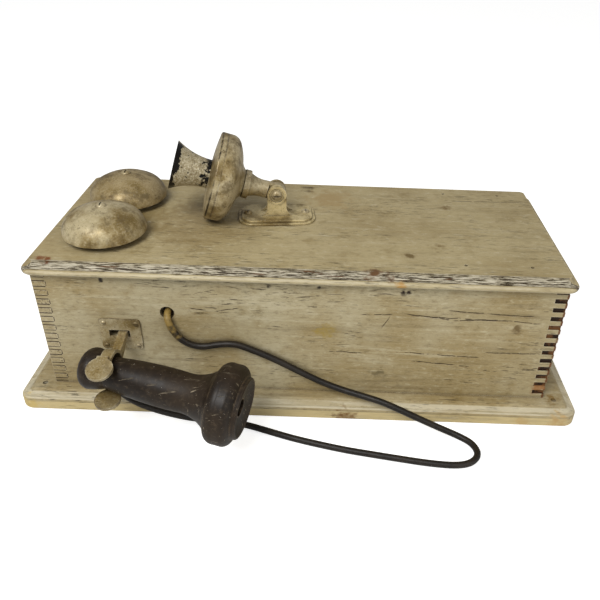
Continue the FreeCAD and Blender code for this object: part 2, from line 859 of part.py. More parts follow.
turn = math.radians(receiver_turn)
dip = math.radians(receiver_dip)
axis = V(math.cos(dip) * math.cos(turn), math.cos(dip) * math.sin(turn), math.sin(dip))
receiver_place = FreeCAD.Placement(tail, FreeCAD.Rotation(X, axis))
cap_lip = shell_long - cap_overlap
body = outline(
    at(0, 0), at(0, bulb_r * 0.48), (at(bulb_at * 0.26, bulb_r * 0.825), at(bulb_at, bulb_r)),
    (at((bulb_at + waist_at) / 2, (bulb_r + waist_r) / 2 + 0.5), at(waist_at, waist_r)),
    (at(waist_at + (grip_at - waist_at) * 0.3, waist_r + (grip_r - waist_r) * 0.66), at(grip_at, grip_r)),
    (at(cap_lip - cap_long * 0.458, grip_r + (seat_r - grip_r) * 0.24),
     at(cap_lip - cap_long * 0.153, seat_r * 0.839)), at(cap_lip - touch, seat_r),
    at(shell_long, seat_r), at(shell_long, cup_r),
    at(shell_long - cup_deep, cup_r), at(shell_long - 2 * cup_deep, bore_r),
    at(bore_start, bore_r), at(bore_start, 0))
bush_way = V(0, 0.8, -0.6)
bush_foot = tail + axis * bush_at
bush_face = bush_foot + bush_way * bush_reach
parts["receiver_bush"] = rod(bush_r, bush_foot + bush_way * bush_sunk, bush_face)
parts["receiver_tail_screw"] = fuse(Part.makeSphere(tail_screw_r, tail - axis * 1.4),
                                    rod(tail_shank_r, tail, tail + axis * tail_shank_long))
receiver_shell = turned(body, tail, axis)
parts["receiver_shell"] = receiver_shell.cut(group([parts["receiver_bush"], parts["receiver_tail_screw"]]))

cap_bore_r = seat_r + touch
cap_r = cap_bore_r + cap_wall
cap_end = cap_lip + cap_long
seat = shell_long + ear_disc_thick
step_at = cap_end - cap_long * 0.137
cap = outline(
    at(cap_lip, cap_bore_r), at(cap_lip, cap_bore_r + cap_wall * 0.25),
    (at(cap_lip + cap_long * 0.1, cap_bore_r + cap_wall * 0.76), at(cap_lip + cap_long * 0.332, cap_r)),
    at(cap_lip + cap_long * 0.523, cap_r),
    (at(step_at - cap_long * 0.153, cap_r * 0.966), at(step_at - cap_long * 0.038, cap_front_r * 1.085)),
    at(step_at, cap_front_r), at(cap_end - cap_wall * 0.17, cap_front_r - cap_wall * 0.17),
    (at(cap_end + cap_wall * 0.085, cap_front_r - cap_wall * 0.4),
     at(cap_end, cap_front_r - cap_wall * 0.77)),
    (at(cap_end - cap_wall * 0.6, earhole_r * 2), at(step_at, earhole_r)),
    at(step_at - cap_wall * 0.83, earhole_r),
    at(seat + cap_seat_deep, cup_r - 1.5), at(seat, cup_r + 2), at(seat, cap_bore_r))
parts["receiver_cap"] = turned(cap, tail, axis)
parts["receiver_diaphragm"] = rod(seat_r - touch, tail + axis * shell_long, tail + axis * seat)
magnet_end = shell_long - 2 * cup_deep - magnet_shy
half_slot = magnet_slot / 2
half_broad = magnet_broad / 2
magnet_legs = [box(bore_start + magnet_seat, magnet_end, -half_broad, half_broad, s * half_slot,
                   s * (half_slot + magnet_leg))
               for s in (-1, 1)]
magnet_yoke = box(bore_start, bore_start + 3 * magnet_seat, -half_broad, half_broad,
                  -half_slot - magnet_leg, half_slot + magnet_leg)
receiver_magnet = fuse(magnet_yoke, *magnet_legs)
receiver_magnet.Placement = receiver_place
parts["receiver_magnet"] = receiver_magnet
spool_z = half_slot + magnet_leg / 2
spools = []
for s in (-1, 1):
    foot = V(magnet_end, 0, s * spool_z)
    wound = rod(spool_r, foot, foot + X * spool_long)
    core = rod(spool_core_r, foot, V(shell_long - 0.6, 0, s * spool_z))
    spools.append(fuse(wound, core))
receiver_coils = group(spools)
receiver_coils.Placement = receiver_place
parts["receiver_coils"] = receiver_coils

# Hook lever with its fork

fork_centre = tail + axis * waist_at
lever_x = fork_centre.x
wall_y = -half_y
pivot_y = wall_y + lever_pivot_in
slot_left = lever_x - lever_wide / 2 - lever_travel
slot_right = lever_x + lever_wide / 2 + lever_play
slot_low = lever_z - lever_thick / 2 - lever_side_play
slot_top = lever_z + lever_thick / 2 + lever_side_play
open_angle = math.radians(fork_tilt)
open_way = V(0, -math.cos(open_angle), -math.sin(open_angle))
up_way = V(0, -math.sin(open_angle), math.cos(open_angle))
fork_in = waist_r + fork_play
fork_out = fork_in + fork_thick
centre = V(0, fork_centre.y, fork_centre.z)


def strip(face, wide):
    """A flat outline in the YZ plane with the lever's width along X."""
    face.translate(X * (lever_x - wide / 2))
    return face.extrude(X * wide)


prong_end = open_way * prong_straight
ring_face = outline(
    centre + up_way * fork_out + prong_end, centre + up_way * fork_out,
    (centre - open_way * fork_out, centre - up_way * fork_out), centre - up_way * fork_out + prong_end,
    centre - up_way * fork_in + prong_end, centre - up_way * fork_in,
    (centre - open_way * fork_in, centre + up_way * fork_in), centre + up_way * fork_in + prong_end)
root = centre - open_way * (fork_out - 0.6)
half_t = lever_thick / 2
stem_face = outline(
    V(0, pivot_y, lever_z - half_t), V(0, wall_y - 4, lever_z - half_t),
    root - up_way * 4.5, root + up_way * 6.5,
    V(0, wall_y - 4, lever_z + half_t), V(0, pivot_y, lever_z + half_t))
tail_bar = box(lever_x - lever_tail_wide / 2, lever_x + lever_tail_wide / 2, pivot_y, pivot_y + lever_tail,
               lever_z - half_t, lever_z + half_t)
lever_hub = rod(lever_hub_r, V(lever_x, pivot_y, lever_z - half_t), V(lever_x, pivot_y, lever_z + half_t))


def pad(side, droop):
    """A round pad on the end of one prong, tilted about the line through its middle."""
    half = pad_thick / 2
    lift = pad_reach * math.sin(math.radians(droop))
    along = open_way * (prong_straight - 1.5)
    hinge_line = (centre + up_way * (side * (fork_in + half) + lift) + along
                  + X * (lever_x + pad_offset))
    disc = rod(pad_r, V(0, -pad_reach, -half), V(0, -pad_reach, half))
    neck = box(-fork_wide / 2, fork_wide / 2, -8, 1.5, -half, half)
    pad_body = fuse(disc, neck)
    pad_body.Placement = FreeCAD.Placement(hinge_line, FreeCAD.Rotation(X, fork_tilt + droop))
    return pad_body


lever = fuse(strip(ring_face, fork_wide), strip(stem_face, lever_wide), tail_bar, lever_hub,
             pad(1, upper_pad_droop), pad(-1, lower_pad_droop))
switch_pivot = V(lever_x, pivot_y, lever_z)
cradle_r = bulb_r + cradle_gap
cradle_neck_r = waist_r + cradle_gap
cradle = outline(
    at(0, 0), at(0, cradle_r), at(bulb_at, cradle_r),
    (at((bulb_at + waist_at) / 2, (cradle_r + cradle_neck_r) / 2 + 0.5), at(waist_at, cradle_neck_r)),
    at(waist_at, 0))
lever = lever.cut(turned(cradle, tail, axis))
parts["hook_lever"] = lever.cut(through(switch_pin_r + running / 2, switch_pivot, Z, lever_thick * 2))

# Hook plate on the near side

plate_x = lever_x + plate_shift
plate_z = lever_z - plate_drop
plate = box(plate_x - plate_long / 2, plate_x + plate_long / 2, wall_y - plate_thick, wall_y,
            plate_z - plate_high / 2, plate_z + plate_high / 2)
plate = plate.makeFillet(plate_corner,
                         [e for e in plate.Edges if abs(e.tangentAt(e.FirstParameter).y) > 0.99])
plate = plate.cut(box(slot_left, slot_right, wall_y - plate_thick * 2, wall_y + plate_thick, slot_low,
                      slot_top))
plate_screws = []
for sx, sz in corners:
    place = V(plate_x + sx * (plate_long / 2 - plate_screw_inset), wall_y - plate_thick,
              plate_z + sz * (plate_high / 2 - plate_screw_inset))
    plate_screws.append(screw(plate_screw_head_r, plate_screw_r, plate_thick + plate_screw_long, place,
                              Y * -1))
parts["hook_plate_screws"] = group(plate_screws)
parts["hook_plate"] = plate.cut(parts["hook_plate_screws"])

# Switch inside the case

back_y = -inner_y + switch_plate
back = box(slot_left - switch_margin, slot_right + switch_margin, -inner_y, back_y,
           lever_z - switch_half_high, lever_z + switch_half_high)
back = back.cut(box(slot_left - 1, slot_right + 1, -inner_y - 1, back_y + 1, slot_low, slot_top))
shelf_in = half_t + touch
shelves = [box(slot_left + 1, lever_x + lever_hub_r, -inner_y, pivot_y + lever_hub_r + 2,
               lever_z + s * shelf_in,
               lever_z + s * (shelf_in + switch_plate)) for s in (-1, 1)]
pin_over = Z * (shelf_in + switch_pin_over)
switch_pin = rod(switch_pin_r, switch_pivot - pin_over, switch_pivot + pin_over)
parts["switch_frame"] = fuse(back, *shelves, switch_pin)
spring_x = lever_x + lever_tail_wide / 2 + spring_off
springs = []
for i in range(spring_count):
    x = spring_x + i * spring_gap
    springs.append(box(x, x + spring_thick, back_y, pivot_y + lever_tail - 2 + 2 * i,
                       lever_z - spring_wide / 2, lever_z + spring_wide / 2))
insulator = box(spring_x - 0.8, spring_x + spring_count * spring_gap, back_y, back_y + insulator_deep,
                lever_z - insulator_high / 2, lever_z + insulator_high / 2)
parts["contact_springs"] = group([insulator.cut(group(springs))] + springs)

# Near side: slot, cord hole and screw holes

cord_hole = V(cord_hole_x, wall_y, cord_hole_z)
wood_slot = box(slot_left - wood_slot_room, slot_right + wood_slot_room, -half_y, -inner_y,
                slot_low - wood_slot_room, slot_top + wood_slot_room)
near_cuts = [wood_slot, parts["hook_plate_screws"], through(cord_hole_r, cord_hole, Y, 20)]
parts["case_near_side"] = near_side.cut(group(near_cuts))

# Magneto on the backboard, with its shaft across the case

base_top = backboard_thick + base_thick
rotor_z = base_top + rotor_lift + rotor_r
gear_spacing = gear_module * (gear_teeth + pinion_teeth) / 2
crank_z = rotor_z + gear_spacing
half_pole = rotor_long / 2 + rotor_play
pole_out = rotor_r + rotor_clear + pole_thick
magnet_out = pole_out + magnet_thick
base_half_y = half_pole + end_plate + base_margin
rotor_axis = V(magneto_x, 0, rotor_z)
crank_axis = V(magneto_x, 0, crank_z)
parts["magneto_base"] = box(magneto_x - magnet_out - base_margin, magneto_x + magnet_out + base_margin,
                            -base_half_y, base_half_y, backboard_thick, base_top)
poles = [box(magneto_x + s * pole_gap / 2, magneto_x + s * pole_out, -half_pole, half_pole, base_top,
             rotor_z + rotor_r + pole_over).cut(through(rotor_r + rotor_clear, rotor_axis,
                                                        Y)) for s in (-1, 1)]
plates = []
for s in (-1, 1):
    side_plate = box(magneto_x - pole_out, magneto_x + pole_out, s * half_pole, s * (half_pole + end_plate),
                     base_top, crank_z + end_plate_over)
    side_plate = side_plate.cut(through(rotor_shaft_r + running / 2, rotor_axis, Y))
    plates.append(side_plate.cut(through(crank_shaft_r + running / 2, crank_axis, Y)))
parts["magneto_frame"] = group(poles + plates)


def horseshoe(y):
    """A bent bar magnet that straddles the pole pieces."""
    bend_z = rotor_z + magnet_bend_over
    left = magneto_x - magnet_out
    right = magneto_x + magnet_out
    face = outline(V(left, y, base_top), V(left + magnet_thick, y, base_top),
                   V(left + magnet_thick, y, bend_z),
                   (V(magneto_x, y, bend_z + pole_out), V(right - magnet_thick, y, bend_z)),
                   V(right - magnet_thick, y, base_top), V(right, y, base_top), V(right, y, bend_z),
                   (V(magneto_x, y, bend_z + magnet_out), V(left, y, bend_z)))
    return face.extrude(Y * magnet_wide)


magnet_step = magnet_wide + magnet_gap
magnet_start = (magnet_gap - magnet_count * magnet_step) / 2
parts["magneto_magnets"] = group(horseshoe(magnet_start + i * magnet_step) for i in range(magnet_count))
gear_y = half_pole + end_plate + gear_off
rotor_shaft = rod(rotor_shaft_r, rotor_axis - Y * (half_pole + end_plate),
                  rotor_axis + Y * (gear_y + gear_thick))
rotor_drum = rod(rotor_r, rotor_axis - Y * (rotor_long / 2), rotor_axis + Y * (rotor_long / 2))
rotor_slots = [box(magneto_x + s * rotor_web / 2, magneto_x + s * (rotor_r + 1), -rotor_long / 2 + 6,
                   rotor_long / 2 - 6,
                   rotor_z - rotor_slot / 2, rotor_z + rotor_slot / 2) for s in (-1, 1)]
parts["magneto_rotor"] = fuse(rotor_drum.cut(group(rotor_slots)), rotor_shaft)
pinion = gear_wheel(pinion_teeth, gear_thick, rotor_axis + Y * gear_y, 90 + 180 / pinion_teeth)
parts["magneto_pinion"] = pinion.cut(rotor_shaft)

# Crank on the far side, hanging down

bush_out_y = half_y + crank_flange
hub_start = bush_out_y + touch
hub_end = hub_start + crank_hub_long
arm_start = hub_end - crank_arm_thick
crank_shaft = rod(crank_shaft_r, crank_axis + Y * (half_pole + touch), crank_axis + Y * hub_end)
gear = gear_wheel(gear_teeth, gear_thick, crank_axis + Y * gear_y, -90)
windows = []
for i in range(window_count):
    a = math.radians(360.0 * i / window_count)
    windows.append(through(window_r, crank_axis + V(math.cos(a), 0, math.sin(a)) * window_ring_r, Y))
parts["drive_gear"] = gear.cut(group(windows + [crank_shaft]))
parts["crank_shaft"] = crank_shaft
bush_bore = crank_shaft_r + running / 2
parts["crank_bush"] = fuse(tube(crank_bush_r, bush_bore, crank_axis + Y * (inner_y - 2),
                                crank_axis + Y * half_y),
                           tube(crank_flange_r, bush_bore, crank_axis + Y * half_y,
                                crank_axis + Y * bush_out_y))
parts["case_far_side"] = far_side.cut(rod(crank_bush_r, crank_axis + Y * inner_y, crank_axis + Y * half_y))
knob_axis = crank_axis - Z * crank_reach
knob_start = hub_end + knob_gap
knob_end = knob_start + knob_long
crank_hub = rod(crank_hub_r, crank_axis + Y * hub_start, crank_axis + Y * hub_end)
crank_eye = rod(crank_eye_r, knob_axis + Y * arm_start, knob_axis + Y * hub_end)
crank_bar = box(magneto_x - crank_arm_wide / 2, magneto_x + crank_arm_wide / 2, arm_start, hub_end,
                crank_z - crank_reach, crank_z)
knob_pin = fuse(rod(knob_pin_r, knob_axis + Y * arm_start, knob_axis + Y * (knob_end + 1)),
                rod(knob_washer_r, knob_axis + Y * (knob_end + touch),
                    knob_axis + Y * (knob_end + touch + knob_washer)))
parts["crank_arm"] = fuse(crank_hub, crank_bar, crank_eye, knob_pin).cut(crank_shaft)
knob_bore = knob_pin_r + running / 2
knob = outline(at(0, knob_bore), at(0, knob_r * 0.68),
               (at(knob_long * 0.28, knob_r * 0.86), at(knob_long * 0.63, knob_r)),
               (at(knob_long * 0.88, knob_r * 0.95), at(knob_long, knob_r * 0.63)), at(knob_long,
               knob_bore))
parts["crank_knob"] = turned(knob, knob_axis + Y * knob_start, Y)

# Dry cells, induction coil, condenser and terminal block

cell_start = inner_x - touch - cell_long
cell_z = backboard_thick + touch + cell_r
cells = []
for s in (-1, 1):
    foot = V(cell_start, s * cell_pitch / 2, cell_z)
    cells.append(rod(cell_r, foot, foot + X * cell_long))
    for lift in (0, stud_pitch):
        stud = foot + Z * lift
        cells.append(fuse(rod(cell_stud_r, stud - X * cell_stud_long, stud),
                          rod(cell_nut_r, stud - X * 5, stud - X * 2)))
parts["dry_cells"] = group(cells)
coil_z = backboard_thick + coil_end / 2
coil_ends = (coil_y - coil_long / 2, coil_y + coil_long / 2)
cheeks = [box(coil_x - coil_end / 2, coil_x + coil_end / 2, y, y + coil_end_thick, backboard_thick,
              backboard_thick + coil_end)
          for y in (coil_ends[0], coil_ends[1] - coil_end_thick)]
coil_core = rod(coil_wound_r, V(coil_x, coil_ends[0], coil_z), V(coil_x, coil_ends[1], coil_z))
parts["induction_coil"] = fuse(coil_core, *cheeks)
condenser_start = coil_ends[1] + 4
parts["condenser"] = box(coil_x - condenser_x / 2, coil_x + condenser_x / 2, condenser_start,
                         condenser_start + condenser_y, backboard_thick, backboard_thick + condenser_z)
block_front = -inner_y + block_deep
terminals = []
for i in range(terminal_count):
    foot = V(block_x + block_long * ((i + 0.5) / terminal_count - 0.5), block_front, block_z)
    terminals.append(fuse(rod(terminal_r, foot - Y * 5, foot + Y * 6),
                          rod(terminal_nut_r, foot, foot + Y * 3)))
terminal_block = box(block_x - block_long / 2, block_x + block_long / 2, -inner_y, block_front,
                     block_z - block_high / 2, block_z + block_high / 2)
parts["terminal_block"] = group([terminal_block.cut(group(terminals))] + terminals)

# Spring catch

catch_y = -inner_y + catch_gap
catch_ends = (catch_x - catch_wide / 2, catch_x + catch_wide / 2)
parts["door_catch"] = fuse(box(*catch_ends, catch_y, catch_y + catch_plate, door_z - catch_high, door_z),
                           box(*catch_ends, catch_y, catch_y + catch_foot, door_z - catch_plate, door_z))

# Cord: out of its hole, down the side, round a loop on the surface and up into the receiver

def beside(x, y, z):
    """A point of the cord, measured from the case's corner that is nearest to the hook."""
    return near_corner + V(x, y, z)


anchor_face = V(cord_hole_x, -inner_y - anchor_long, cord_hole_z)
anchor_inner = V(cord_hole_x, -inner_y, cord_hole_z)
parts["cord_anchor"] = fuse(rod(cord_hole_r - running, anchor_face, anchor_inner),
                            rod(anchor_flange_r, anchor_inner, anchor_inner + Y * anchor_flange))
floor = cord_r + 0.05
join = beside(261.95, -59.85, floor)
case_route = [
    anchor_face, anchor_face - Y * 12, beside(121.35, -5.85, 89.5), beside(127.75, -5.05, 78.4),
    beside(137.75, -4.35, 70.6), beside(149.75, -3.95, 68.4), beside(163.75, -3.95, 72.2),
    beside(179.75, -4.05, 73.4), beside(195.75, -3.95, 66.6), beside(215.75, -4.15, 57.2),
    beside(237.75, -4.65, 44.6), beside(259.75, -6.65, 33.6), beside(279.75, -11.15, 28.6),
    beside(299.75, -17.15, 26.8), beside(319.75, -24.15, 25.7), beside(338.75, -30.15, 20.6),
    beside(357.75, -34.15, 13.6), beside(375.75, -37.65, 7.2), beside(391.75, -42.25, floor),
    beside(403.75, -51.65, floor), beside(407.55, -65.15, floor), beside(399.25, -76.15, floor),
    beside(384.75, -80.05, floor), beside(359.75, -78.25, floor), beside(331.75, -73.65, floor),
    beside(303.75, -68.85, floor), beside(281.75, -64.85, floor), join]
receiver_route = [
    join, beside(241.55, -54.7, floor), beside(215.75, -45.85, floor), beside(191.75, -37.25, floor),
    beside(167.75, -33.05, floor), beside(143.75, -32.45, 3.9), beside(121.75, -32.05, 8.0),
    beside(100.75, -31.45, 14.4), beside(82.75, -29.15, 21.7), beside(68.75, -23.05, 28.6),
    beside(59.25, -16.45, 37.6), beside(56.25, -13.45, 47.2), bush_face + bush_way * 8, bush_face]
parts["cord_case"] = cord_tube(case_route, cord_r, "cord_case")
parts["cord_receiver"] = cord_tube(receiver_route, cord_r, "cord_receiver")

os.makedirs("parts", exist_ok=True)
for name, shape in parts.items():
    if not shape.isValid():
        print("not valid:", name)
    shape.exportStep("parts/" + name + ".step")
print(len(parts), "nodes")
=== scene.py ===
import json
import math

import bpy
from mathutils import Matrix, Vector


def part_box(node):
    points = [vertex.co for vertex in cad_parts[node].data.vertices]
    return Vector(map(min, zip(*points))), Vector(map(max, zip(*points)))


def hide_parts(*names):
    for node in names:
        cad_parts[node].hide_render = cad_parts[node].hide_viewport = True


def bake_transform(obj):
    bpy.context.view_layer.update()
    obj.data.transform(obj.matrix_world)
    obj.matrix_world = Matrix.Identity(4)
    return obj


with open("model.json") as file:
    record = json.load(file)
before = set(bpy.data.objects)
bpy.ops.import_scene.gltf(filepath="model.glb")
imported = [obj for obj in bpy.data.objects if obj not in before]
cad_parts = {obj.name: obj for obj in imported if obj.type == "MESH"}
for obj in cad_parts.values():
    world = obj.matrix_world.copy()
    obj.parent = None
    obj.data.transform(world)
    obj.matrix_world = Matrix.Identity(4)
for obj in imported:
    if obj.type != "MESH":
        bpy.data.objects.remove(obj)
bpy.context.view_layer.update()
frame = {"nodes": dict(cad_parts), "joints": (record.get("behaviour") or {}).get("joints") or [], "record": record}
nodes = frame["nodes"]

# Camera, as the photograph was taken: metres, radians and pixels

CAMERA_AT = Vector((0.026067, -0.582379, 0.434359))
CAMERA_YAW = 0.0014
CAMERA_PITCH = 0.5688
CAMERA_ROLL = 0.0355
FRAME_PX = 600
FOCAL_PX = 643.695
CENTRE_PX = 330
SENSOR_MM = 36.0


def make_camera():
    """The camera, looking along +Y and down."""
    fwd = Vector((math.sin(CAMERA_YAW) * math.cos(CAMERA_PITCH),
                  math.cos(CAMERA_YAW) * math.cos(CAMERA_PITCH), -math.sin(CAMERA_PITCH)))
    level = Vector((math.cos(CAMERA_YAW), -math.sin(CAMERA_YAW), 0))
    up = level.cross(fwd)
    right = math.cos(CAMERA_ROLL) * level + math.sin(CAMERA_ROLL) * up
    top = -math.sin(CAMERA_ROLL) * level + math.cos(CAMERA_ROLL) * up
    camera = bpy.data.objects.new("camera", bpy.data.cameras.new("camera"))
    camera.matrix_world = Matrix.LocRotScale(
        CAMERA_AT, Matrix((right, top, -fwd)).transposed(), None)
    camera.data.sensor_width = SENSOR_MM
    camera.data.lens = FOCAL_PX / FRAME_PX * SENSOR_MM
    camera.data.shift_x = (FRAME_PX / 2 - CENTRE_PX) / FRAME_PX
    bpy.context.scene.collection.objects.link(camera)
    bpy.context.scene.camera = camera


# Floor, background and light

WHITE = (1, 1, 1, 1)
FLOOR_SIZE = 6.0
FLOOR_DROP = 0.0002
FLOOR_COLOUR = (230, 230, 228)
KEY_AT = (-0.5, -0.9, 1.25)
KEY_AIM = (0.03, 0, 0.05)
KEY_SIZE = 0.7
KEY_POWER = 16.5
FILL_AT = (0.9, -1.0, 0.75)
FILL_AIM = (0, 0, 0.08)
FILL_SIZE = 1.2
FILL_POWER = 5.5
WORLD_LIGHT = 0.33
FLOOR_GLOW = 0.7
FLOOR_ROUGH = 0.8


def area_lamp(name, place, aim, size, power):
    """A soft square lamp that points at aim."""
    data = bpy.data.lights.new(name, "AREA")
    data.size = size
    data.energy = power
    lamp = bpy.data.objects.new(name, data)
    lamp.location = place
    lamp.rotation_mode = "QUATERNION"
    lamp.rotation_quaternion = (Vector(aim) - Vector(place)).to_track_quat("-Z", "Y")
    bpy.context.scene.collection.objects.link(lamp)


def make_stage():
    """A pale floor and two soft lamps."""
    half = FLOOR_SIZE / 2
    mesh = bpy.data.meshes.new("floor")
    mesh.from_pydata([(-half, -half, 0), (half, -half, 0), (half, half, 0), (-half, half, 0)],
                     [], [(0, 1, 2, 3)])
    floor = bpy.data.objects.new("floor", mesh)
    floor.location.z = -FLOOR_DROP
    bpy.context.scene.collection.objects.link(floor)
    look = Look("floor_paper", colour=FLOOR_COLOUR, rough=FLOOR_ROUGH)
    seen = look.node("ShaderNodeLightPath")
    glow = look.maths("MULTIPLY", seen.outputs["Is Camera Ray"], FLOOR_GLOW)
    look.link(glow, look.shader.inputs["Emission Strength"])
    look.shader.inputs["Emission Color"].default_value = WHITE
    mesh.materials.append(look.material)
    area_lamp("key", KEY_AT, KEY_AIM, KEY_SIZE, KEY_POWER)
    area_lamp("fill", FILL_AT, FILL_AIM, FILL_SIZE, FILL_POWER)
    light_room()


def light_room():
    """An even room light, which the camera sees as white."""
    world = bpy.data.worlds.new("room")
    bpy.context.scene.world = world
    world.use_nodes = True
    tree = world.node_tree
    back = tree.nodes["Background"]
    back.inputs["Color"].default_value = WHITE
    path = tree.nodes.new("ShaderNodeLightPath")
    strength = tree.nodes.new("ShaderNodeMapRange")
    strength.inputs["To Min"].default_value = WORLD_LIGHT
    strength.inputs["To Max"].default_value = 1.0
    tree.links.new(path.outputs["Is Camera Ray"], strength.inputs["Value"])
    tree.links.new(strength.outputs["Result"], back.inputs["Strength"])


# Materials

HOLLOW_SAMPLES = 5
EDGE_SAMPLES = 6
X, Y, Z = 0, 1, 2


def linear(colour):
    """The colour as a shader takes it, from 0 to 255 as a screen shows it."""
    return tuple(pow(c / 255, 2.2) for c in colour) + (1.0,)


class Look:
    """One procedural material, with short calls for its nodes."""

    def __init__(self, name, colour=(128, 128, 128), rough=0.5, metal=0.0):
        self.material = bpy.data.materials.new(name)
        self.material.use_nodes = True
        self.tree = self.material.node_tree
        self.shader = self.tree.nodes["Principled BSDF"]
        self.shader.inputs["Base Color"].default_value = linear(colour)
        self.shader.inputs["Roughness"].default_value = rough
        self.shader.inputs["Metallic"].default_value = metal
        self.place = self.node("ShaderNodeTexCoord").outputs["Object"]

    def node(self, kind):
        return self.tree.nodes.new(kind)

    def link(self, a, b):
        self.tree.links.new(a, b)

    def put(self, socket, value):
        """Link another socket to this one, or set it to a number or a colour."""
        if isinstance(value, bpy.types.NodeSocket):
            self.link(value, socket)
        elif isinstance(value, tuple) and len(value) == 3 and socket.type == "RGBA":
            socket.default_value = linear(value)
        else:
            socket.default_value = value

    def maths(self, operation, a, b=0.0):
        n = self.node("ShaderNodeMath")
        n.operation = operation
        self.put(n.inputs[0], a)
        self.put(n.inputs[1], b)
        return n.outputs[0]

    def times(self, a, b):
        return self.maths("MULTIPLY", a, b)

    def noise(self, stretch, detail=4.0, rough=0.55, bend=0.0, shift=(0, 0, 0)):
        """Noise whose patches are 1/stretch metres in size along each axis."""
        mapping = self.node("ShaderNodeMapping")
        mapping.inputs["Scale"].default_value = stretch
        mapping.inputs["Location"].default_value = shift
        self.link(self.place, mapping.inputs["Vector"])
        n = self.node("ShaderNodeTexNoise")
        n.inputs["Scale"].default_value = 1.0
        n.inputs["Detail"].default_value = detail
        n.inputs["Roughness"].default_value = rough
        n.inputs["Distortion"].default_value = bend
        self.link(mapping.outputs[0], n.inputs["Vector"])
        return n.outputs["Fac"]

    def rise(self, value, low, high, start=0.0, end=1.0):
        """A smooth step from start to end while value goes from low to high."""
        n = self.node("ShaderNodeMapRange")
        n.interpolation_type = "SMOOTHSTEP"
        self.put(n.inputs["Value"], value)
        for name, number in (("From Min", low), ("From Max", high), ("To Min", start), ("To Max", end)):
            n.inputs[name].default_value = number
        return n.outputs["Result"]

    def mix(self, share, a, b):
        n = self.node("ShaderNodeMix")
        n.data_type = "RGBA"
        self.put(n.inputs["Factor"], share)
        self.put(n.inputs[6], a)
        self.put(n.inputs[7], b)
        return n.outputs[2]

    def tint(self, colour, value, low, high, share, shade):
        """Colour turning to shade, up to a share, while value goes from low to high."""
        return self.mix(self.rise(value, low, high, 0.0, share), colour, shade)

    def cover(self, colour, mask, share, shade):
        """Colour with a share of shade wherever mask is 1."""
        return self.mix(self.times(mask, share), colour, shade)

    def axis(self, index):
        n = self.node("ShaderNodeSeparateXYZ")
        self.link(self.place, n.inputs[0])
        return n.outputs[index]

    def along(self, start, way):
        """How far a point lies from start in the direction way."""
        n = self.node("ShaderNodeVectorMath")
        n.operation = "SUBTRACT"
        self.link(self.place, n.inputs[0])
        n.inputs[1].default_value = start
        across = self.node("ShaderNodeVectorMath")
        across.operation = "DOT_PRODUCT"
        self.link(n.outputs[0], across.inputs[0])
        across.inputs[1].default_value = way
        return across.outputs["Value"]

    def near(self, point, reach, soft=0.5):
        """1 at a point, fading to 0 at about reach from it, with a ragged outline."""
        n = self.node("ShaderNodeVectorMath")
        n.operation = "DISTANCE"
        self.link(self.place, n.inputs[0])
        n.inputs[1].default_value = point
        ragged = self.times(self.noise((130, 130, 260), 3, 0.6), reach * 2.2)
        distance = self.maths("ADD", n.outputs["Value"], self.maths("SUBTRACT", ragged, reach * 1.1))
        return self.rise(distance, reach * soft * 0.5, reach, 1.0, 0.0)

    def within(self, axis, low, high, soft=0.004):
        """1 between two places along an axis, with soft ends."""
        place = self.axis(axis)
        return self.times(self.rise(place, low, low + soft),
                          self.rise(place, high - soft, high, 1.0, 0.0))

    def crack(self, start, end, width, up):
        """A thin wavy line along X between two points (x, height), on a face whose height is axis up."""
        (x0, h0), (x1, h1) = start, end
        slope = (h1 - h0) / (x1 - x0)
        wave = self.times(self.noise((50, 0, 90), 4, 0.6, shift=(x0 * 90, 0, 0)), WAVE)
        line = self.maths("ADD", self.times(self.axis(X), slope), h0 - slope * x0 - WAVE / 2)
        off = self.maths("ABSOLUTE", self.maths("SUBTRACT", self.axis(up), self.maths("ADD", line, wave)))
        wide = width * math.hypot(1, slope)
        thick = self.noise((220, 0, 220), 2, 0.5, shift=(9, 0, 0))
        reach = self.maths("SUBTRACT", off, self.times(thick, wide * 0.9))
        across = self.rise(reach, 0.0, wide * 0.6, 1.0, 0.0)
        gaps = self.rise(self.noise((160, 300, 300), 2, 0.5, shift=(0, 3, h0 * 50)), 0.34, 0.46)
        return self.times(self.times(across, gaps), self.within(X, x0, x1))

    def inside(self, low_x, high_x, low_y, high_y, soft=0.0008):
        """1 inside a box on a face that is seen from above."""
        return self.times(self.within(X, low_x, high_x, soft), self.within(Y, low_y, high_y, soft))

    def hollow_grime_and_shade(self, reach):
        """How deep in a corner or crease a point is, from ambient occlusion; it is the mask for grime and painted
        shade there.
        """
        n = self.node("ShaderNodeAmbientOcclusion")
        n.samples = HOLLOW_SAMPLES
        n.inputs["Distance"].default_value = reach
        return self.rise(n.outputs["AO"], 0.25, 0.85, 1.0, 0.0)

    def joint_lines(self, inner_x, outer_x):
        """The thin outlines of the finger joint at one end of the case."""
        turn = self.maths("DIVIDE", self.maths("SUBTRACT", self.axis(Z), FINGER_START), FINGER)
        share = self.maths("FRACT", turn)
        side = self.rise(self.maths("ABSOLUTE", self.maths("SUBTRACT", share, 0.5)), 0.25, 0.34)
        low, high = min(inner_x, outer_x), max(inner_x, outer_x)
        lines = self.times(side, self.within(X, low, high, 0.0004))
        odd = self.rise(self.maths("FRACT", self.times(self.maths("FLOOR", turn), 0.5)), 0.2, 0.3)
        foot = self.within(X, inner_x - 0.0009, inner_x + 0.0009, 0.0003)
        return self.maths("MAXIMUM", lines, self.times(odd, foot))

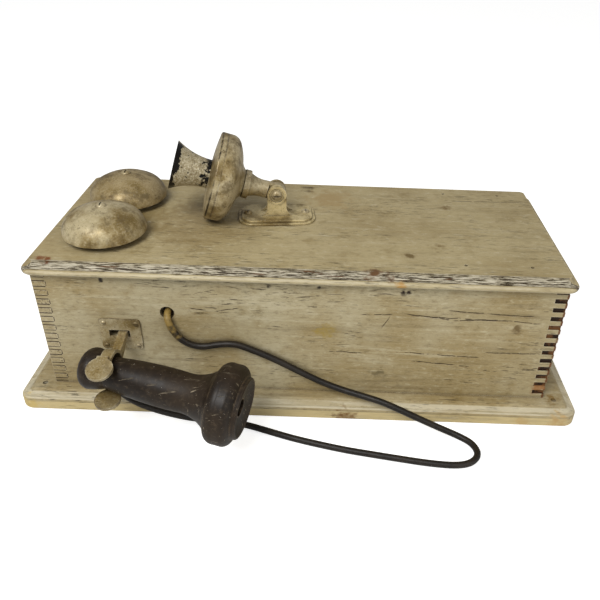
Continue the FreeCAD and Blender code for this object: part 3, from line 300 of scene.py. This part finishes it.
    def edges(self, reach):
        """How near a sharp edge is, from the rounded normal beside it."""
        rounded = self.node("ShaderNodeBevel")
        rounded.samples = EDGE_SAMPLES
        rounded.inputs["Radius"].default_value = reach
        flat = self.node("ShaderNodeNewGeometry").outputs["Normal"]
        n = self.node("ShaderNodeVectorMath")
        n.operation = "DOT_PRODUCT"
        self.link(rounded.outputs[0], n.inputs[0])
        self.link(flat, n.inputs[1])
        return self.rise(n.outputs["Value"], 0.72, 0.995, 1.0, 0.0)

    def paint(self, colour, rough, height, depth, shine=0.3):
        """The finished material, with bumps of about depth."""
        self.shader.inputs["Specular IOR Level"].default_value = shine
        self.put(self.shader.inputs["Base Color"], colour)
        self.put(self.shader.inputs["Roughness"], rough)
        n = self.node("ShaderNodeBump")
        n.inputs["Strength"].default_value = 1.0
        n.inputs["Distance"].default_value = depth
        self.put(n.inputs["Height"], height)
        self.link(n.outputs[0], self.shader.inputs["Normal"])
        return self.material


# Cracks, and sizes of the solid model that the marks follow, in metres. FINGERS counts the fingers
# and the gaps between them, from the backboard to the door.

WAVE = 0.004
CRACK_WIDTH = 0.0006
LOW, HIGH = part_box("case_near_side")
CASE_END = HIGH[X]
NEAR_FACE = LOW[Y]
BOARD = HIGH[Y] - LOW[Y]
FINGERS = 26
FINGER_START = LOW[Z]
FINGER = (HIGH[Z] - LOW[Z]) / FINGERS
DOOR_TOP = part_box("door")[1][Z]
BACK_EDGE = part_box("backboard")[0][Y]
PIVOT = next(joint["pos_m"] for joint in frame["joints"] if joint["name"] == "transmitter_tilt")
ARM_WAY = (-0.95019, -0.11667, 0.28903)
SHELL_FRONT = 0.0580
RIM_FRONT = 0.0630
CORD_EXIT = (-0.1205, -0.099, 0.097)

# Colours, as a screen shows them

PAINT = (174, 160, 127)
# Pale paint, also used for painted highlights on edges and mouldings.
PAINT_BRIGHT_AND_HIGHLIGHT = (222, 214, 188)
PAINT_WARM = (152, 134, 94)
PAINT_PALE = (200, 190, 160)
PAINT_DARK = (104, 90, 62)
WOOD_BROWN = (112, 76, 46)
WOOD_DARK = (50, 35, 23)
RUST = (112, 76, 44)
STAIN = (134, 114, 70)
GRIME_AND_SHADE = (58, 46, 30)
SILVER = (196, 189, 170)
SILVER_DARK = (104, 95, 76)
NOTCH_DARK = (40, 26, 15)
NOTCH_BROWN = (104, 70, 40)
CHIP_BROWN = (74, 56, 38)
GRIME_BROWN = (84, 68, 42)
SEAM = (40, 32, 22)
CORNER_BROWN = (104, 66, 38)
SLAB_YELLOW = (204, 184, 134)
HORN_SILVER = (150, 136, 104)
HORN_BRIGHT = (200, 190, 162)
HORN_STAIN = (104, 88, 56)
HORN_BLACK = (22, 19, 16)
RUBBER = (31, 24, 17)
RUBBER_BROWN = (49, 39, 28)
RUBBER_PALE = (84, 72, 56)
RUBBER_WORN = (132, 112, 88)
SCRATCH = (158, 144, 120)
SPECK = (222, 214, 196)
CORD = (24, 20, 16)
CORD_BROWN = (40, 34, 27)
CORD_PALE = (78, 68, 54)
CORD_WORN = (142, 118, 66)


class Wood(Look):
    """Silver-grey paint over wood: grain, long cracks, grime and painted shade, painted highlights on edges, and
    chips where an edge was knocked.
    """

    def __init__(self, name, along, base, dirt):
        """along is the direction of the grain, X, Y or Z, and dirt is how strongly dirt and fine
        cracks follow the grain."""
        super().__init__(name)
        self.run = along
        self.grain = self.grained(9, 620, 5, 0.62, 0.3)
        self.fine = self.grained(170, 1100, 4, 0.7, shift=(6, 6, 1))
        self.streak = self.grained(11, 120, 4, 0.6, 0.2, (1, 5, 2))
        self.flakes = self.grained(80, 1000, 5, 0.7, 0.2, (7, 3, 3))
        self.patches = self.grained(22, 300, 4, 0.6, shift=(1, 2, 9))
        self.blotch = self.noise((42, 42, 42), 5, 0.65, shift=(3, 1, 7))
        self.colour = self.coat(base, dirt)
        self.wear_and_highlight_edges()

    def grained(self, long, across, detail, rough, bend=0.0, shift=(0, 0, 0)):
        """Noise that is stretched along the grain."""
        stretch = tuple(long if i == self.run else across for i in range(3))
        return self.noise(stretch, detail, rough, bend, shift)

    def coat(self, base, dirt):
        """The paint, with dirt in the grain, and grime and painted shade in the corners."""
        broad = self.noise((9, 9, 9), 3, 0.6)
        places = self.rise(self.grained(7, 26, 3, 0.6, shift=(9, 4, 1)), 0.44, 0.58)
        dash = self.rise(self.grained(70, 700, 5, 0.64, 0.2, (4, 0, 2)), 0.58, 0.66)
        speckle = self.grained(120, 230, 5, 0.7, shift=(5, 9, 4))
        self.dents = self.times(dash, places)
        colour = self.mix(self.rise(broad, 0.36, 0.66), base, PAINT_WARM)
        colour = self.tint(colour, self.grain, 0.45, 0.75, 0.22, PAINT_PALE)
        colour = self.tint(colour, self.streak, 0.54, 0.70, 0.36 * dirt, PAINT_DARK)
        colour = self.tint(colour, self.streak, 0.44, 0.30, 0.35 * dirt, PAINT_PALE)
        colour = self.tint(colour, self.blotch, 0.52, 0.72, 0.55, STAIN)
        colour = self.tint(colour, speckle, 0.52, 0.70, 0.45 * dirt, PAINT_DARK)
        colour = self.tint(colour, speckle, 0.46, 0.30, 0.4, PAINT_PALE)
        colour = self.tint(colour, self.fine, 0.54, 0.80, 0.35, PAINT_PALE)
        colour = self.tint(colour, self.fine, 0.46, 0.28, 0.6, PAINT_DARK)
        colour = self.cover(colour, self.dents, 0.75 * dirt, WOOD_DARK)
        # Darker in corners and creases, where the parts meet: grime, and painted shade.
        return self.cover(colour, self.hollow_grime_and_shade(0.006), 0.7, GRIME_AND_SHADE)

    def wear_and_highlight_edges(self):
        """Edges rubbed pale and lit with a painted highlight, and bare wood where they were knocked."""
        edge = self.edges(0.0018)
        knocked = self.rise(self.grained(70, 260, 5, 0.65, shift=(2, 2, 2)), 0.60, 0.64)
        self.worn = self.times(edge, knocked)
        wood = self.mix(self.rise(self.grain, 0.35, 0.65), WOOD_DARK, WOOD_BROWN)
        # Pale edges: rubbed paint, and a painted highlight.
        rubbed_and_highlit = self.times(edge, self.rise(self.streak, 0.38, 0.5))
        self.colour = self.cover(self.colour, rubbed_and_highlit, 0.4, PAINT_BRIGHT_AND_HIGHLIGHT)
        self.colour = self.cover(self.colour, self.worn, 0.9, wood)

    def band(self, axis, low, high, shade, share):
        """A strip of another colour along the grain; on the door and the backboard, also a painted highlight."""
        strip = self.times(self.within(axis, low, high, 0.0008), self.rise(self.streak, 0.3, 0.5))
        self.colour = self.cover(self.colour, strip, share, shade)

    def chipped(self, *box):
        """A strip of moulding, silvery where it was rubbed and dark where the paint came off."""
        strip = self.inside(*box)
        silvery = self.mix(self.rise(self.flakes, 0.40, 0.56), SILVER, SILVER_DARK)
        self.colour = self.cover(self.colour, strip, 0.8, silvery)
        gone = self.maths("MAXIMUM", self.rise(self.flakes, 0.54, 0.58), self.rise(self.patches, 0.60, 0.64))
        chips = self.times(strip, gone)
        self.colour = self.cover(self.colour, chips, 0.85, WOOD_DARK)
        browned = self.times(strip, self.rise(self.patches, 0.60, 0.66))
        self.colour = self.cover(self.colour, browned, 0.7, WOOD_BROWN)
        self.worn = self.maths("MAXIMUM", self.worn, chips)

    def unpainted(self, *box):
        """Dark wood in the notches of a finger joint."""
        wood = self.mix(self.rise(self.blotch, 0.46, 0.56), NOTCH_DARK, NOTCH_BROWN)
        self.colour = self.mix(self.inside(*box), self.colour, wood)

    def joint(self, inner_x, outer_x):
        """The outlines of a finger joint under the paint."""
        kept = self.rise(self.patches, 0.36, 0.5, 0.55, 1.0)
        self.colour = self.mix(self.times(self.joint_lines(inner_x, outer_x), kept), self.colour, WOOD_DARK)

    def split(self, start, end, up):
        """A long crack."""
        line = self.crack(start, end, CRACK_WIDTH, up)
        self.colour = self.cover(self.colour, line, 0.85, WOOD_DARK)
        self.dents = self.maths("MAXIMUM", self.dents, line)

    def spot(self, point, reach, shade):
        """A stain or a chip."""
        place = self.times(self.near(point, reach), self.rise(self.blotch, 0.35, 0.55))
        self.colour = self.mix(place, self.colour, shade)
        self.dents = self.maths("ADD", self.dents, self.times(place, 0.3))

    def done(self):
        height = self.maths("SUBTRACT", self.times(self.maths("ADD", self.grain, self.fine), 0.3),
                            self.maths("ADD", self.dents, self.worn))
        return self.paint(self.colour, self.rise(self.blotch, 0.3, 0.7, 0.62, 0.42), height, 0.0004)


def painted_wood(name, along, base, dirt=1.0, bands=(), chipped=(), notches=(), joints=(),
                 cracks=(), spots=()):
    """A coat of paint, then what is on it. Each list holds the numbers for one call per row."""
    wood = Wood(name, along, base, dirt)
    steps = ((wood.band, bands), (wood.chipped, chipped), (wood.unpainted, notches),
             (wood.joint, joints), (wood.split, cracks), (wood.spot, spots))
    for make, rows in steps:
        for numbers in rows:
            make(*numbers)
    return wood.done()


def painted_metal(name, base=PAINT, rust_share=0.6, stained=0.7, gleam=0.22, seams=(), rim=0.001):
    """The same paint over metal: brushed on, dirty in the hollows and painted darker there as shade, rusty and
    chipped at the edges, and lighter at the edges from rubbing and a painted highlight.

    seams are dark lines round the transmitter: (distance from its pivot, strength)."""
    look = Look(name, metal=gleam)
    blotch = look.noise((75, 75, 75), 6, 0.66)
    fine = look.noise((620, 620, 620), 4, 0.65, shift=(2, 7, 1))
    broad = look.noise((26, 26, 26), 4, 0.62, shift=(5, 5, 0))
    colour = look.mix(look.rise(broad, 0.40, 0.62), base, STAIN)
    colour = look.tint(colour, fine, 0.48, 0.75, 0.3, PAINT_BRIGHT_AND_HIGHLIGHT)
    colour = look.tint(colour, blotch, 0.47, 0.66, stained, PAINT_DARK)
    colour = look.tint(colour, fine, 0.42, 0.30, 0.75, GRIME_AND_SHADE)
    colour = look.tint(colour, broad, 0.53, 0.66, stained * 0.7, GRIME_BROWN)
    rust = look.rise(look.noise((150, 150, 150), 5, 0.65, shift=(8, 1, 3)), 0.63, 0.72)
    colour = look.cover(colour, rust, rust_share, RUST)
    # Darker in the hollows: grime, and painted shade.
    colour = look.cover(colour, look.hollow_grime_and_shade(0.006), 0.75, GRIME_AND_SHADE)
    edge = look.edges(rim)
    # Lighter on the edges: rubbed paint, and a painted highlight.
    colour = look.cover(colour, look.times(edge, look.rise(broad, 0.6, 0.4)), 0.6, PAINT_BRIGHT_AND_HIGHLIGHT)
    worn = look.times(edge, look.rise(blotch, 0.44, 0.54))
    colour = look.cover(colour, worn, 0.85, CHIP_BROWN)
    dents = look.maths("ADD", rust, worn)
    for place, strength in seams:
        off = look.maths("ABSOLUTE", look.maths("SUBTRACT", look.along(PIVOT, ARM_WAY), place))
        line = look.times(look.rise(off, 0.0003, 0.0012, 1.0, 0.0), look.rise(blotch, 0.36, 0.56, 0.25, 1.0))
        colour = look.cover(colour, line, strength, SEAM)
        dents = look.maths("ADD", dents, line)
    height = look.maths("SUBTRACT", look.times(fine, 0.5), dents)
    return look.paint(colour, look.rise(blotch, 0.3, 0.7, 0.28, 0.52), height, 0.00025)


def flaking_paint(name):
    """Silver paint flaking off a black horn, nearly all gone at its rim."""
    look = Look(name, metal=0.2)
    way = look.along(PIVOT, ARM_WAY)
    flake = look.noise((110, 110, 110), 6, 0.66)
    dots = look.rise(look.noise((330, 330, 330), 1, 0.4, shift=(3, 3, 1)), 0.70, 0.73)
    toward_rim = look.rise(way, 0.0910, 0.1005, 0.0, 0.30)
    toward_root = look.rise(way, 0.0675, 0.0820, 0.18, 0.0)
    edge = look.maths("ADD", flake, look.maths("ADD", toward_rim, toward_root))
    bare = look.maths("MAXIMUM", look.rise(edge, 0.66, 0.69), dots)
    fine = look.noise((700, 700, 700), 3, 0.6)
    blotch = look.noise((190, 190, 190), 4, 0.6, shift=(5, 0, 2))
    silver = look.mix(look.rise(fine, 0.38, 0.66), HORN_SILVER, HORN_BRIGHT)
    silver = look.tint(silver, blotch, 0.50, 0.68, 0.6, HORN_STAIN)
    colour = look.mix(bare, silver, HORN_BLACK)
    height = look.maths("SUBTRACT", look.times(fine, 0.3), bare)
    return look.paint(colour, look.rise(bare, 0.0, 1.0, 0.40, 0.34), height, 0.0002)


def hard_rubber(name):
    """Old brown-black hard rubber with scratches, white specks and brown rubbed edges."""
    look = Look(name)
    broad = look.noise((34, 34, 34), 4, 0.6)
    mottle = look.noise((260, 260, 260), 5, 0.68, shift=(4, 4, 9))
    specks = look.rise(look.noise((480, 480, 480), 4, 0.68, shift=(1, 8, 3)), 0.685, 0.73)
    lines = look.rise(look.noise((46, 620, 260), 4, 0.6, 0.7, shift=(6, 2, 4)), 0.62, 0.69)
    places = look.rise(look.noise((24, 24, 24), 3, 0.6, shift=(2, 6, 8)), 0.45, 0.6)
    colour = look.mix(look.rise(broad, 0.35, 0.7), RUBBER, RUBBER_BROWN)
    colour = look.tint(colour, mottle, 0.50, 0.72, 0.4, RUBBER_PALE)
    uneven = look.rise(look.noise((90, 90, 90), 5, 0.6), 0.36, 0.56)
    colour = look.cover(colour, look.times(look.edges(0.004), uneven), 0.75, RUBBER_WORN)
    colour = look.cover(colour, look.times(lines, places), 0.75, SCRATCH)
    colour = look.cover(colour, specks, 0.9, SPECK)
    rough = look.rise(broad, 0.3, 0.7, 0.40, 0.58)
    return look.paint(colour, rough, look.maths("ADD", lines, specks), 0.0001, 0.26)


def worn_metal(name, colour, dark, rough):
    """Bare metal, darker in patches."""
    look = Look(name, metal=1.0)
    blotch = look.noise((120, 120, 120), 5, 0.62)
    fine = look.noise((900, 900, 900), 3, 0.6)
    shade = look.mix(look.rise(blotch, 0.42, 0.68), colour, dark)
    return look.paint(shade, look.rise(fine, 0.3, 0.7, rough - 0.1, rough + 0.15), fine, 0.00008)


def wound_wire(name, colour):
    """Fine covered wire, wound in turns across X."""
    look = Look(name)
    turns = look.noise((60, 2600, 2600), 2, 0.5)
    shade = look.mix(look.rise(turns, 0.35, 0.65), colour, tuple(c * 0.5 for c in colour))
    return look.paint(shade, 0.55, turns, 0.0003)


def grained(name, pale, dark, rough=0.55):
    """Bare wood or brown paper, with its grain along X."""
    look = Look(name)
    grain = look.noise((16, 420, 420), 5, 0.62, 0.4)
    broad = look.noise((40, 40, 40), 3, 0.5)
    colour = look.mix(look.rise(grain, 0.35, 0.68), pale, dark)
    colour = look.tint(colour, broad, 0.5, 0.75, 0.5, dark)
    return look.paint(colour, rough, grain, 0.0003)


def cord_cover(name):
    """Woven black-brown cord, rubbed to a yellowish tan where it leaves the case."""
    look = Look(name)
    broad = look.noise((60, 60, 60), 3, 0.6)
    fine = look.noise((1500, 1500, 1500), 2, 0.6)
    colour = look.mix(look.rise(broad, 0.35, 0.7), CORD, CORD_BROWN)
    colour = look.tint(colour, fine, 0.5, 0.75, 0.35, CORD_PALE)
    colour = look.mix(look.near(CORD_EXIT, 0.023, 0.3), colour, CORD_WORN)
    return look.paint(colour, 0.42, fine, 0.0002, 0.35)


# Marks on the near side, the door and the backboard, where the photograph shows them

NEAR_CRACKS = [
    ((0.0962, 0.1108), (0.1387, 0.1055), Z),
    ((0.1387, 0.1055), (0.1823, 0.1074), Z),
    ((0.1823, 0.1074), (0.2211, 0.1050), Z),
    ((0.0545, 0.1086), (0.0854, 0.1099), Z),
    ((0.1338, 0.1156), (0.2141, 0.1124), Z),
    ((0.0889, 0.0677), (0.1708, 0.0637), Z),
    ((0.1736, 0.0697), (0.2281, 0.0709), Z),
    ((0.1050, 0.0572), (0.1629, 0.0532), Z),
    ((-0.0786, 0.1057), (-0.0546, 0.1110), Z),
    ((-0.1020, 0.1085), (-0.0850, 0.1070), Z),
    ((0.1000, 0.1090), (0.1900, 0.1062), Z),
    ((0.0250, 0.0660), (0.0600, 0.0645), Z),
    ((0.0739, 0.0920), (0.0832, 0.1090), Z)]
NEAR_SPOTS = [
    ((0.0241, NEAR_FACE, 0.0888), 0.012, (150, 128, 66)),
    ((0.2005, NEAR_FACE, 0.0974), 0.006, (110, 92, 60)),
    ((0.0915, NEAR_FACE, 0.1335), 0.004, (44, 30, 18)),
    ((0.0965, NEAR_FACE, 0.1338), 0.003, (44, 30, 18)),
    ((-0.1778, NEAR_FACE, 0.1357), 0.003, (40, 30, 20)),
    ((-0.0287, NEAR_FACE, 0.1355), 0.003, (40, 30, 20)),
    ((0.0166, NEAR_FACE, 0.1357), 0.003, (40, 30, 20)),
    ((0.2328, NEAR_FACE, 0.0295), 0.009, (150, 106, 66)),
    ((0.0739, NEAR_FACE, 0.0374), 0.012, (112, 100, 72))]
DOOR_CRACKS = [((0.1527, 0.0630), (0.2374, 0.0650), Y)]
DOOR_SPOTS = [
    ((-0.0005, 0.0813, DOOR_TOP), 0.011, (84, 70, 44)),
    ((0.1261, -0.0468, DOOR_TOP), 0.010, (118, 98, 58)),
    ((0.0974, -0.0645, DOOR_TOP), 0.007, (112, 94, 58)),
    ((-0.2285, -0.0925, DOOR_TOP), 0.006, (116, 70, 36)),
    ((-0.2215, -0.0925, DOOR_TOP), 0.005, (116, 70, 36)),
    ((0.0232, 0.0546, DOOR_TOP), 0.034, (160, 138, 96)),
    ((0.1437, 0.0442, DOOR_TOP), 0.008, (120, 100, 64)),
    ((-0.1539, -0.0134, DOOR_TOP), 0.004, (226, 222, 206)),
    ((0.0633, -0.0975, 0.1535), 0.010, (100, 72, 46)),
    ((0.0790, -0.0985, 0.1520), 0.007, (100, 72, 46)),
    ((0.0874, -0.1032, 0.1430), 0.007, (176, 136, 78)),
    ((-0.165, -0.015, DOOR_TOP), 0.06, (142, 124, 84)),
    ((-0.105, 0.02, DOOR_TOP), 0.05, (146, 128, 90))]
BACK_SPOTS = [
    ((0.2497, BACK_EDGE, 0.004), 0.015, (182, 152, 102)),
    ((0.2160, BACK_EDGE, 0.003), 0.010, (186, 160, 110)),
    ((0.0450, BACK_EDGE, 0.002), 0.013, (118, 88, 50)),
    ((0.2496, -0.0982, 0.0174), 0.011, (128, 102, 54)),
    ((-0.0600, BACK_EDGE, 0.003), 0.010, (140, 110, 66)),
    ((-0.2600, -0.1150, 0.004), 0.012, (196, 172, 110))]


def wooden_looks():
    return {
        "painted_wood": painted_wood("painted_wood", X, PAINT),
        "near_wood": painted_wood(
            "near_wood", X, (172, 160, 128), bands=[(X, 0.2374, 0.2420, CORNER_BROWN, 0.95)],
            notches=[(0.2277, 0.2410, -0.0951, -0.0820)],
            joints=[(-CASE_END + BOARD, -CASE_END)], cracks=NEAR_CRACKS, spots=NEAR_SPOTS),
        "door_wood": painted_wood(
            # The bright band along the door's bead is a painted highlight.
            "door_wood", X, (172, 156, 116), 0.45, bands=[(Y, -0.1036, -0.1008, PAINT_BRIGHT_AND_HIGHLIGHT, 0.35)],
            chipped=[(-0.26, 0.26, -0.1006, -0.0946)], cracks=DOOR_CRACKS, spots=DOOR_SPOTS),
        "back_wood": painted_wood(
            "back_wood", X, (174, 160, 126),
            # The yellow band is the slab's worn edge; the bright band under the arris is a painted highlight.
            bands=[(Z, -0.001, 0.0105, SLAB_YELLOW, 0.8), (Z, 0.0125, 0.0165, PAINT_BRIGHT_AND_HIGHLIGHT, 0.5)],
            spots=BACK_SPOTS),
        "end_wood": painted_wood("end_wood", Y, PAINT, notches=[(0.2270, 0.2401, -0.0948, -0.0925)]),
    }


def metal_looks():
    seams = ((SHELL_FRONT, 0.35), (RIM_FRONT, 0.95))
    return {
        "painted_metal": painted_metal("painted_metal"),
        "painted_gong": painted_metal("painted_gong", (186, 171, 134), 0.5, 0.7),
        "far_gong": painted_metal("far_gong", (164, 145, 106), 0.5, 0.8),
        "hook_metal": painted_metal("hook_metal", (146, 130, 94), 0.8, 0.7, 0.15, rim=0.0025),
        "bracket_metal": painted_metal("bracket_metal", (204, 186, 138), 0.6, 0.5),
        "seamed_metal": painted_metal("seamed_metal", (184, 169, 134), 0.9, 0.85, 0.25, seams),
        "steel": worn_metal("steel", (168, 164, 156), (112, 104, 92), 0.38),
        "iron": worn_metal("iron", (78, 74, 70), (56, 46, 38), 0.55),
        "brass": worn_metal("brass", (176, 148, 92), (112, 90, 56), 0.36),
    }


def other_looks():
    return {
        "chipped_horn": flaking_paint("chipped_horn"),
        "hard_rubber": hard_rubber("hard_rubber"),
        "black_fibre": hard_rubber("black_fibre"),
        "cord_black": cord_cover("cord_black"),
        "winding": wound_wire("winding", (46, 88, 52)),
        "cell_paper": grained("cell_paper", (158, 122, 78), (112, 82, 50), 0.75),
        "bare_wood": grained("bare_wood", (136, 92, 54), (84, 52, 28)),
    }


OWN_LOOK = {"case_top_end": "end_wood", "case_foot_end": "end_wood", "case_near_side": "near_wood",
            "door": "door_wood", "backboard": "back_wood", "gong_far": "far_gong",
            "hook_lever": "hook_metal", "transmitter_bracket": "bracket_metal",
            "transmitter_shell": "seamed_metal", "transmitter_face": "seamed_metal",
            "transmitter_screws": "painted_metal"}


def dress(looks):
    """Each carried-over solid in its own look, or in the look of its material slot."""
    slot_of = {s["node"]: s["material_slot"] for s in frame["record"]["subparts"]}
    for name, node in nodes.items():
        look = looks[OWN_LOOK.get(name, slot_of[name])]
        node.data.materials.clear()
        node.data.materials.append(look)


# Cord, along the same route as the solid one

CORD_R = 0.0031
CORD_STEPS = 10
CORD_SIDES = 5
FLOOR_Z = 0.00315
CORNER = Vector((-CASE_END, NEAR_FACE, 0))


def beside(*points):
    """Points of the cord, measured from the case's corner that is nearest to the hook."""
    return [tuple(CORNER + Vector(p)) for p in points]


JOIN = (0.26195, -0.05985, FLOOR_Z)
CASE_ROUTE = beside(
    (0.11795, 0.00735, 0.103), (0.11795, -0.00465, 0.103), (0.12135, -0.00585, 0.0895),
    (0.12775, -0.00505, 0.0784), (0.13775, -0.00435, 0.0706), (0.14975, -0.00395, 0.0684),
    (0.16375, -0.00395, 0.0722), (0.17975, -0.00405, 0.0734), (0.19575, -0.00395, 0.0666),
    (0.21575, -0.00415, 0.0572), (0.23775, -0.00465, 0.0446), (0.25975, -0.00665, 0.0336),
    (0.27975, -0.01115, 0.0286), (0.29975, -0.01715, 0.0268), (0.31975, -0.02415, 0.0257),
    (0.33875, -0.03015, 0.0206), (0.35775, -0.03415, 0.0136), (0.37575, -0.03765, 0.0072),
    (0.39175, -0.04225, FLOOR_Z), (0.40375, -0.05165, FLOOR_Z), (0.40755, -0.06515, FLOOR_Z),
    (0.39925, -0.07615, FLOOR_Z), (0.38475, -0.08005, FLOOR_Z), (0.35975, -0.07825, FLOOR_Z),
    (0.33175, -0.07365, FLOOR_Z), (0.30375, -0.06885, FLOOR_Z), (0.28175, -0.06485, FLOOR_Z), JOIN)
RECEIVER_ROUTE = beside(
    JOIN, (0.24155, -0.0547, FLOOR_Z), (0.21575, -0.04585, FLOOR_Z), (0.19175, -0.03725, FLOOR_Z),
    (0.16775, -0.03305, FLOOR_Z), (0.14375, -0.03245, 0.0039), (0.12175, -0.03205, 0.008),
    (0.10075, -0.03145, 0.0144), (0.08275, -0.02915, 0.0217), (0.06875, -0.02305, 0.0286),
    (0.05925, -0.01645, 0.0376), (0.05625, -0.01345, 0.0472), (0.05608, -0.02062, 0.05451),
    (0.05608, -0.02702, 0.05931))


def spline_through(name, route, bevel):
    """The line of the cord, with the route's points as control points, and a tube if bevel isn't 0."""
    curve = bpy.data.curves.new(name, "CURVE")
    curve.dimensions = "3D"
    curve.resolution_u = CORD_STEPS
    curve.bevel_depth = bevel
    curve.bevel_resolution = CORD_SIDES
    curve.use_fill_caps = bevel > 0
    line = curve.splines.new("NURBS")
    line.points.add(len(route) - 1)
    for point, place in zip(line.points, route):
        point.co = (*place, 1)
    line.order_u = 3
    line.use_endpoint_u = True
    return curve


def make_cord(name, route, node, look):
    """A smooth tube along the route, which takes the place of the solid cord node; that node is hidden."""
    line = bpy.data.objects.new(name + "_line", spline_through(name + "_line", route, 0.0))
    path = [v.co.copy() for v in bpy.data.meshes.new_from_object(line).vertices]
    bpy.data.objects.remove(line)
    solid = bpy.data.objects.new(name + "_solid", spline_through(name + "_solid", route, CORD_R))
    mesh = bpy.data.meshes.new_from_object(solid)
    bpy.data.objects.remove(solid)
    mesh.name = name
    mesh.materials.clear()
    mesh.materials.append(look)
    for face in mesh.polygons:
        face.use_smooth = True
    tube = bpy.data.objects.new(name, mesh)
    bpy.context.scene.collection.objects.link(tube)
    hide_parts(node)
    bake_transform(tube)


def make_cords(look):
    """The two halves of the cord, which meet on the surface in front of the case."""
    make_cord("line_cord_case_side", CASE_ROUTE, "cord_case",
              look)
    make_cord("line_cord_receiver_side", RECEIVER_ROUTE, "cord_receiver",
              look)


looks = {**wooden_looks(), **metal_looks(), **other_looks()}
make_stage()
make_camera()
make_cords(looks["cord_black"])
dress(looks)
bpy.context.scene.view_settings.view_transform = "Standard"
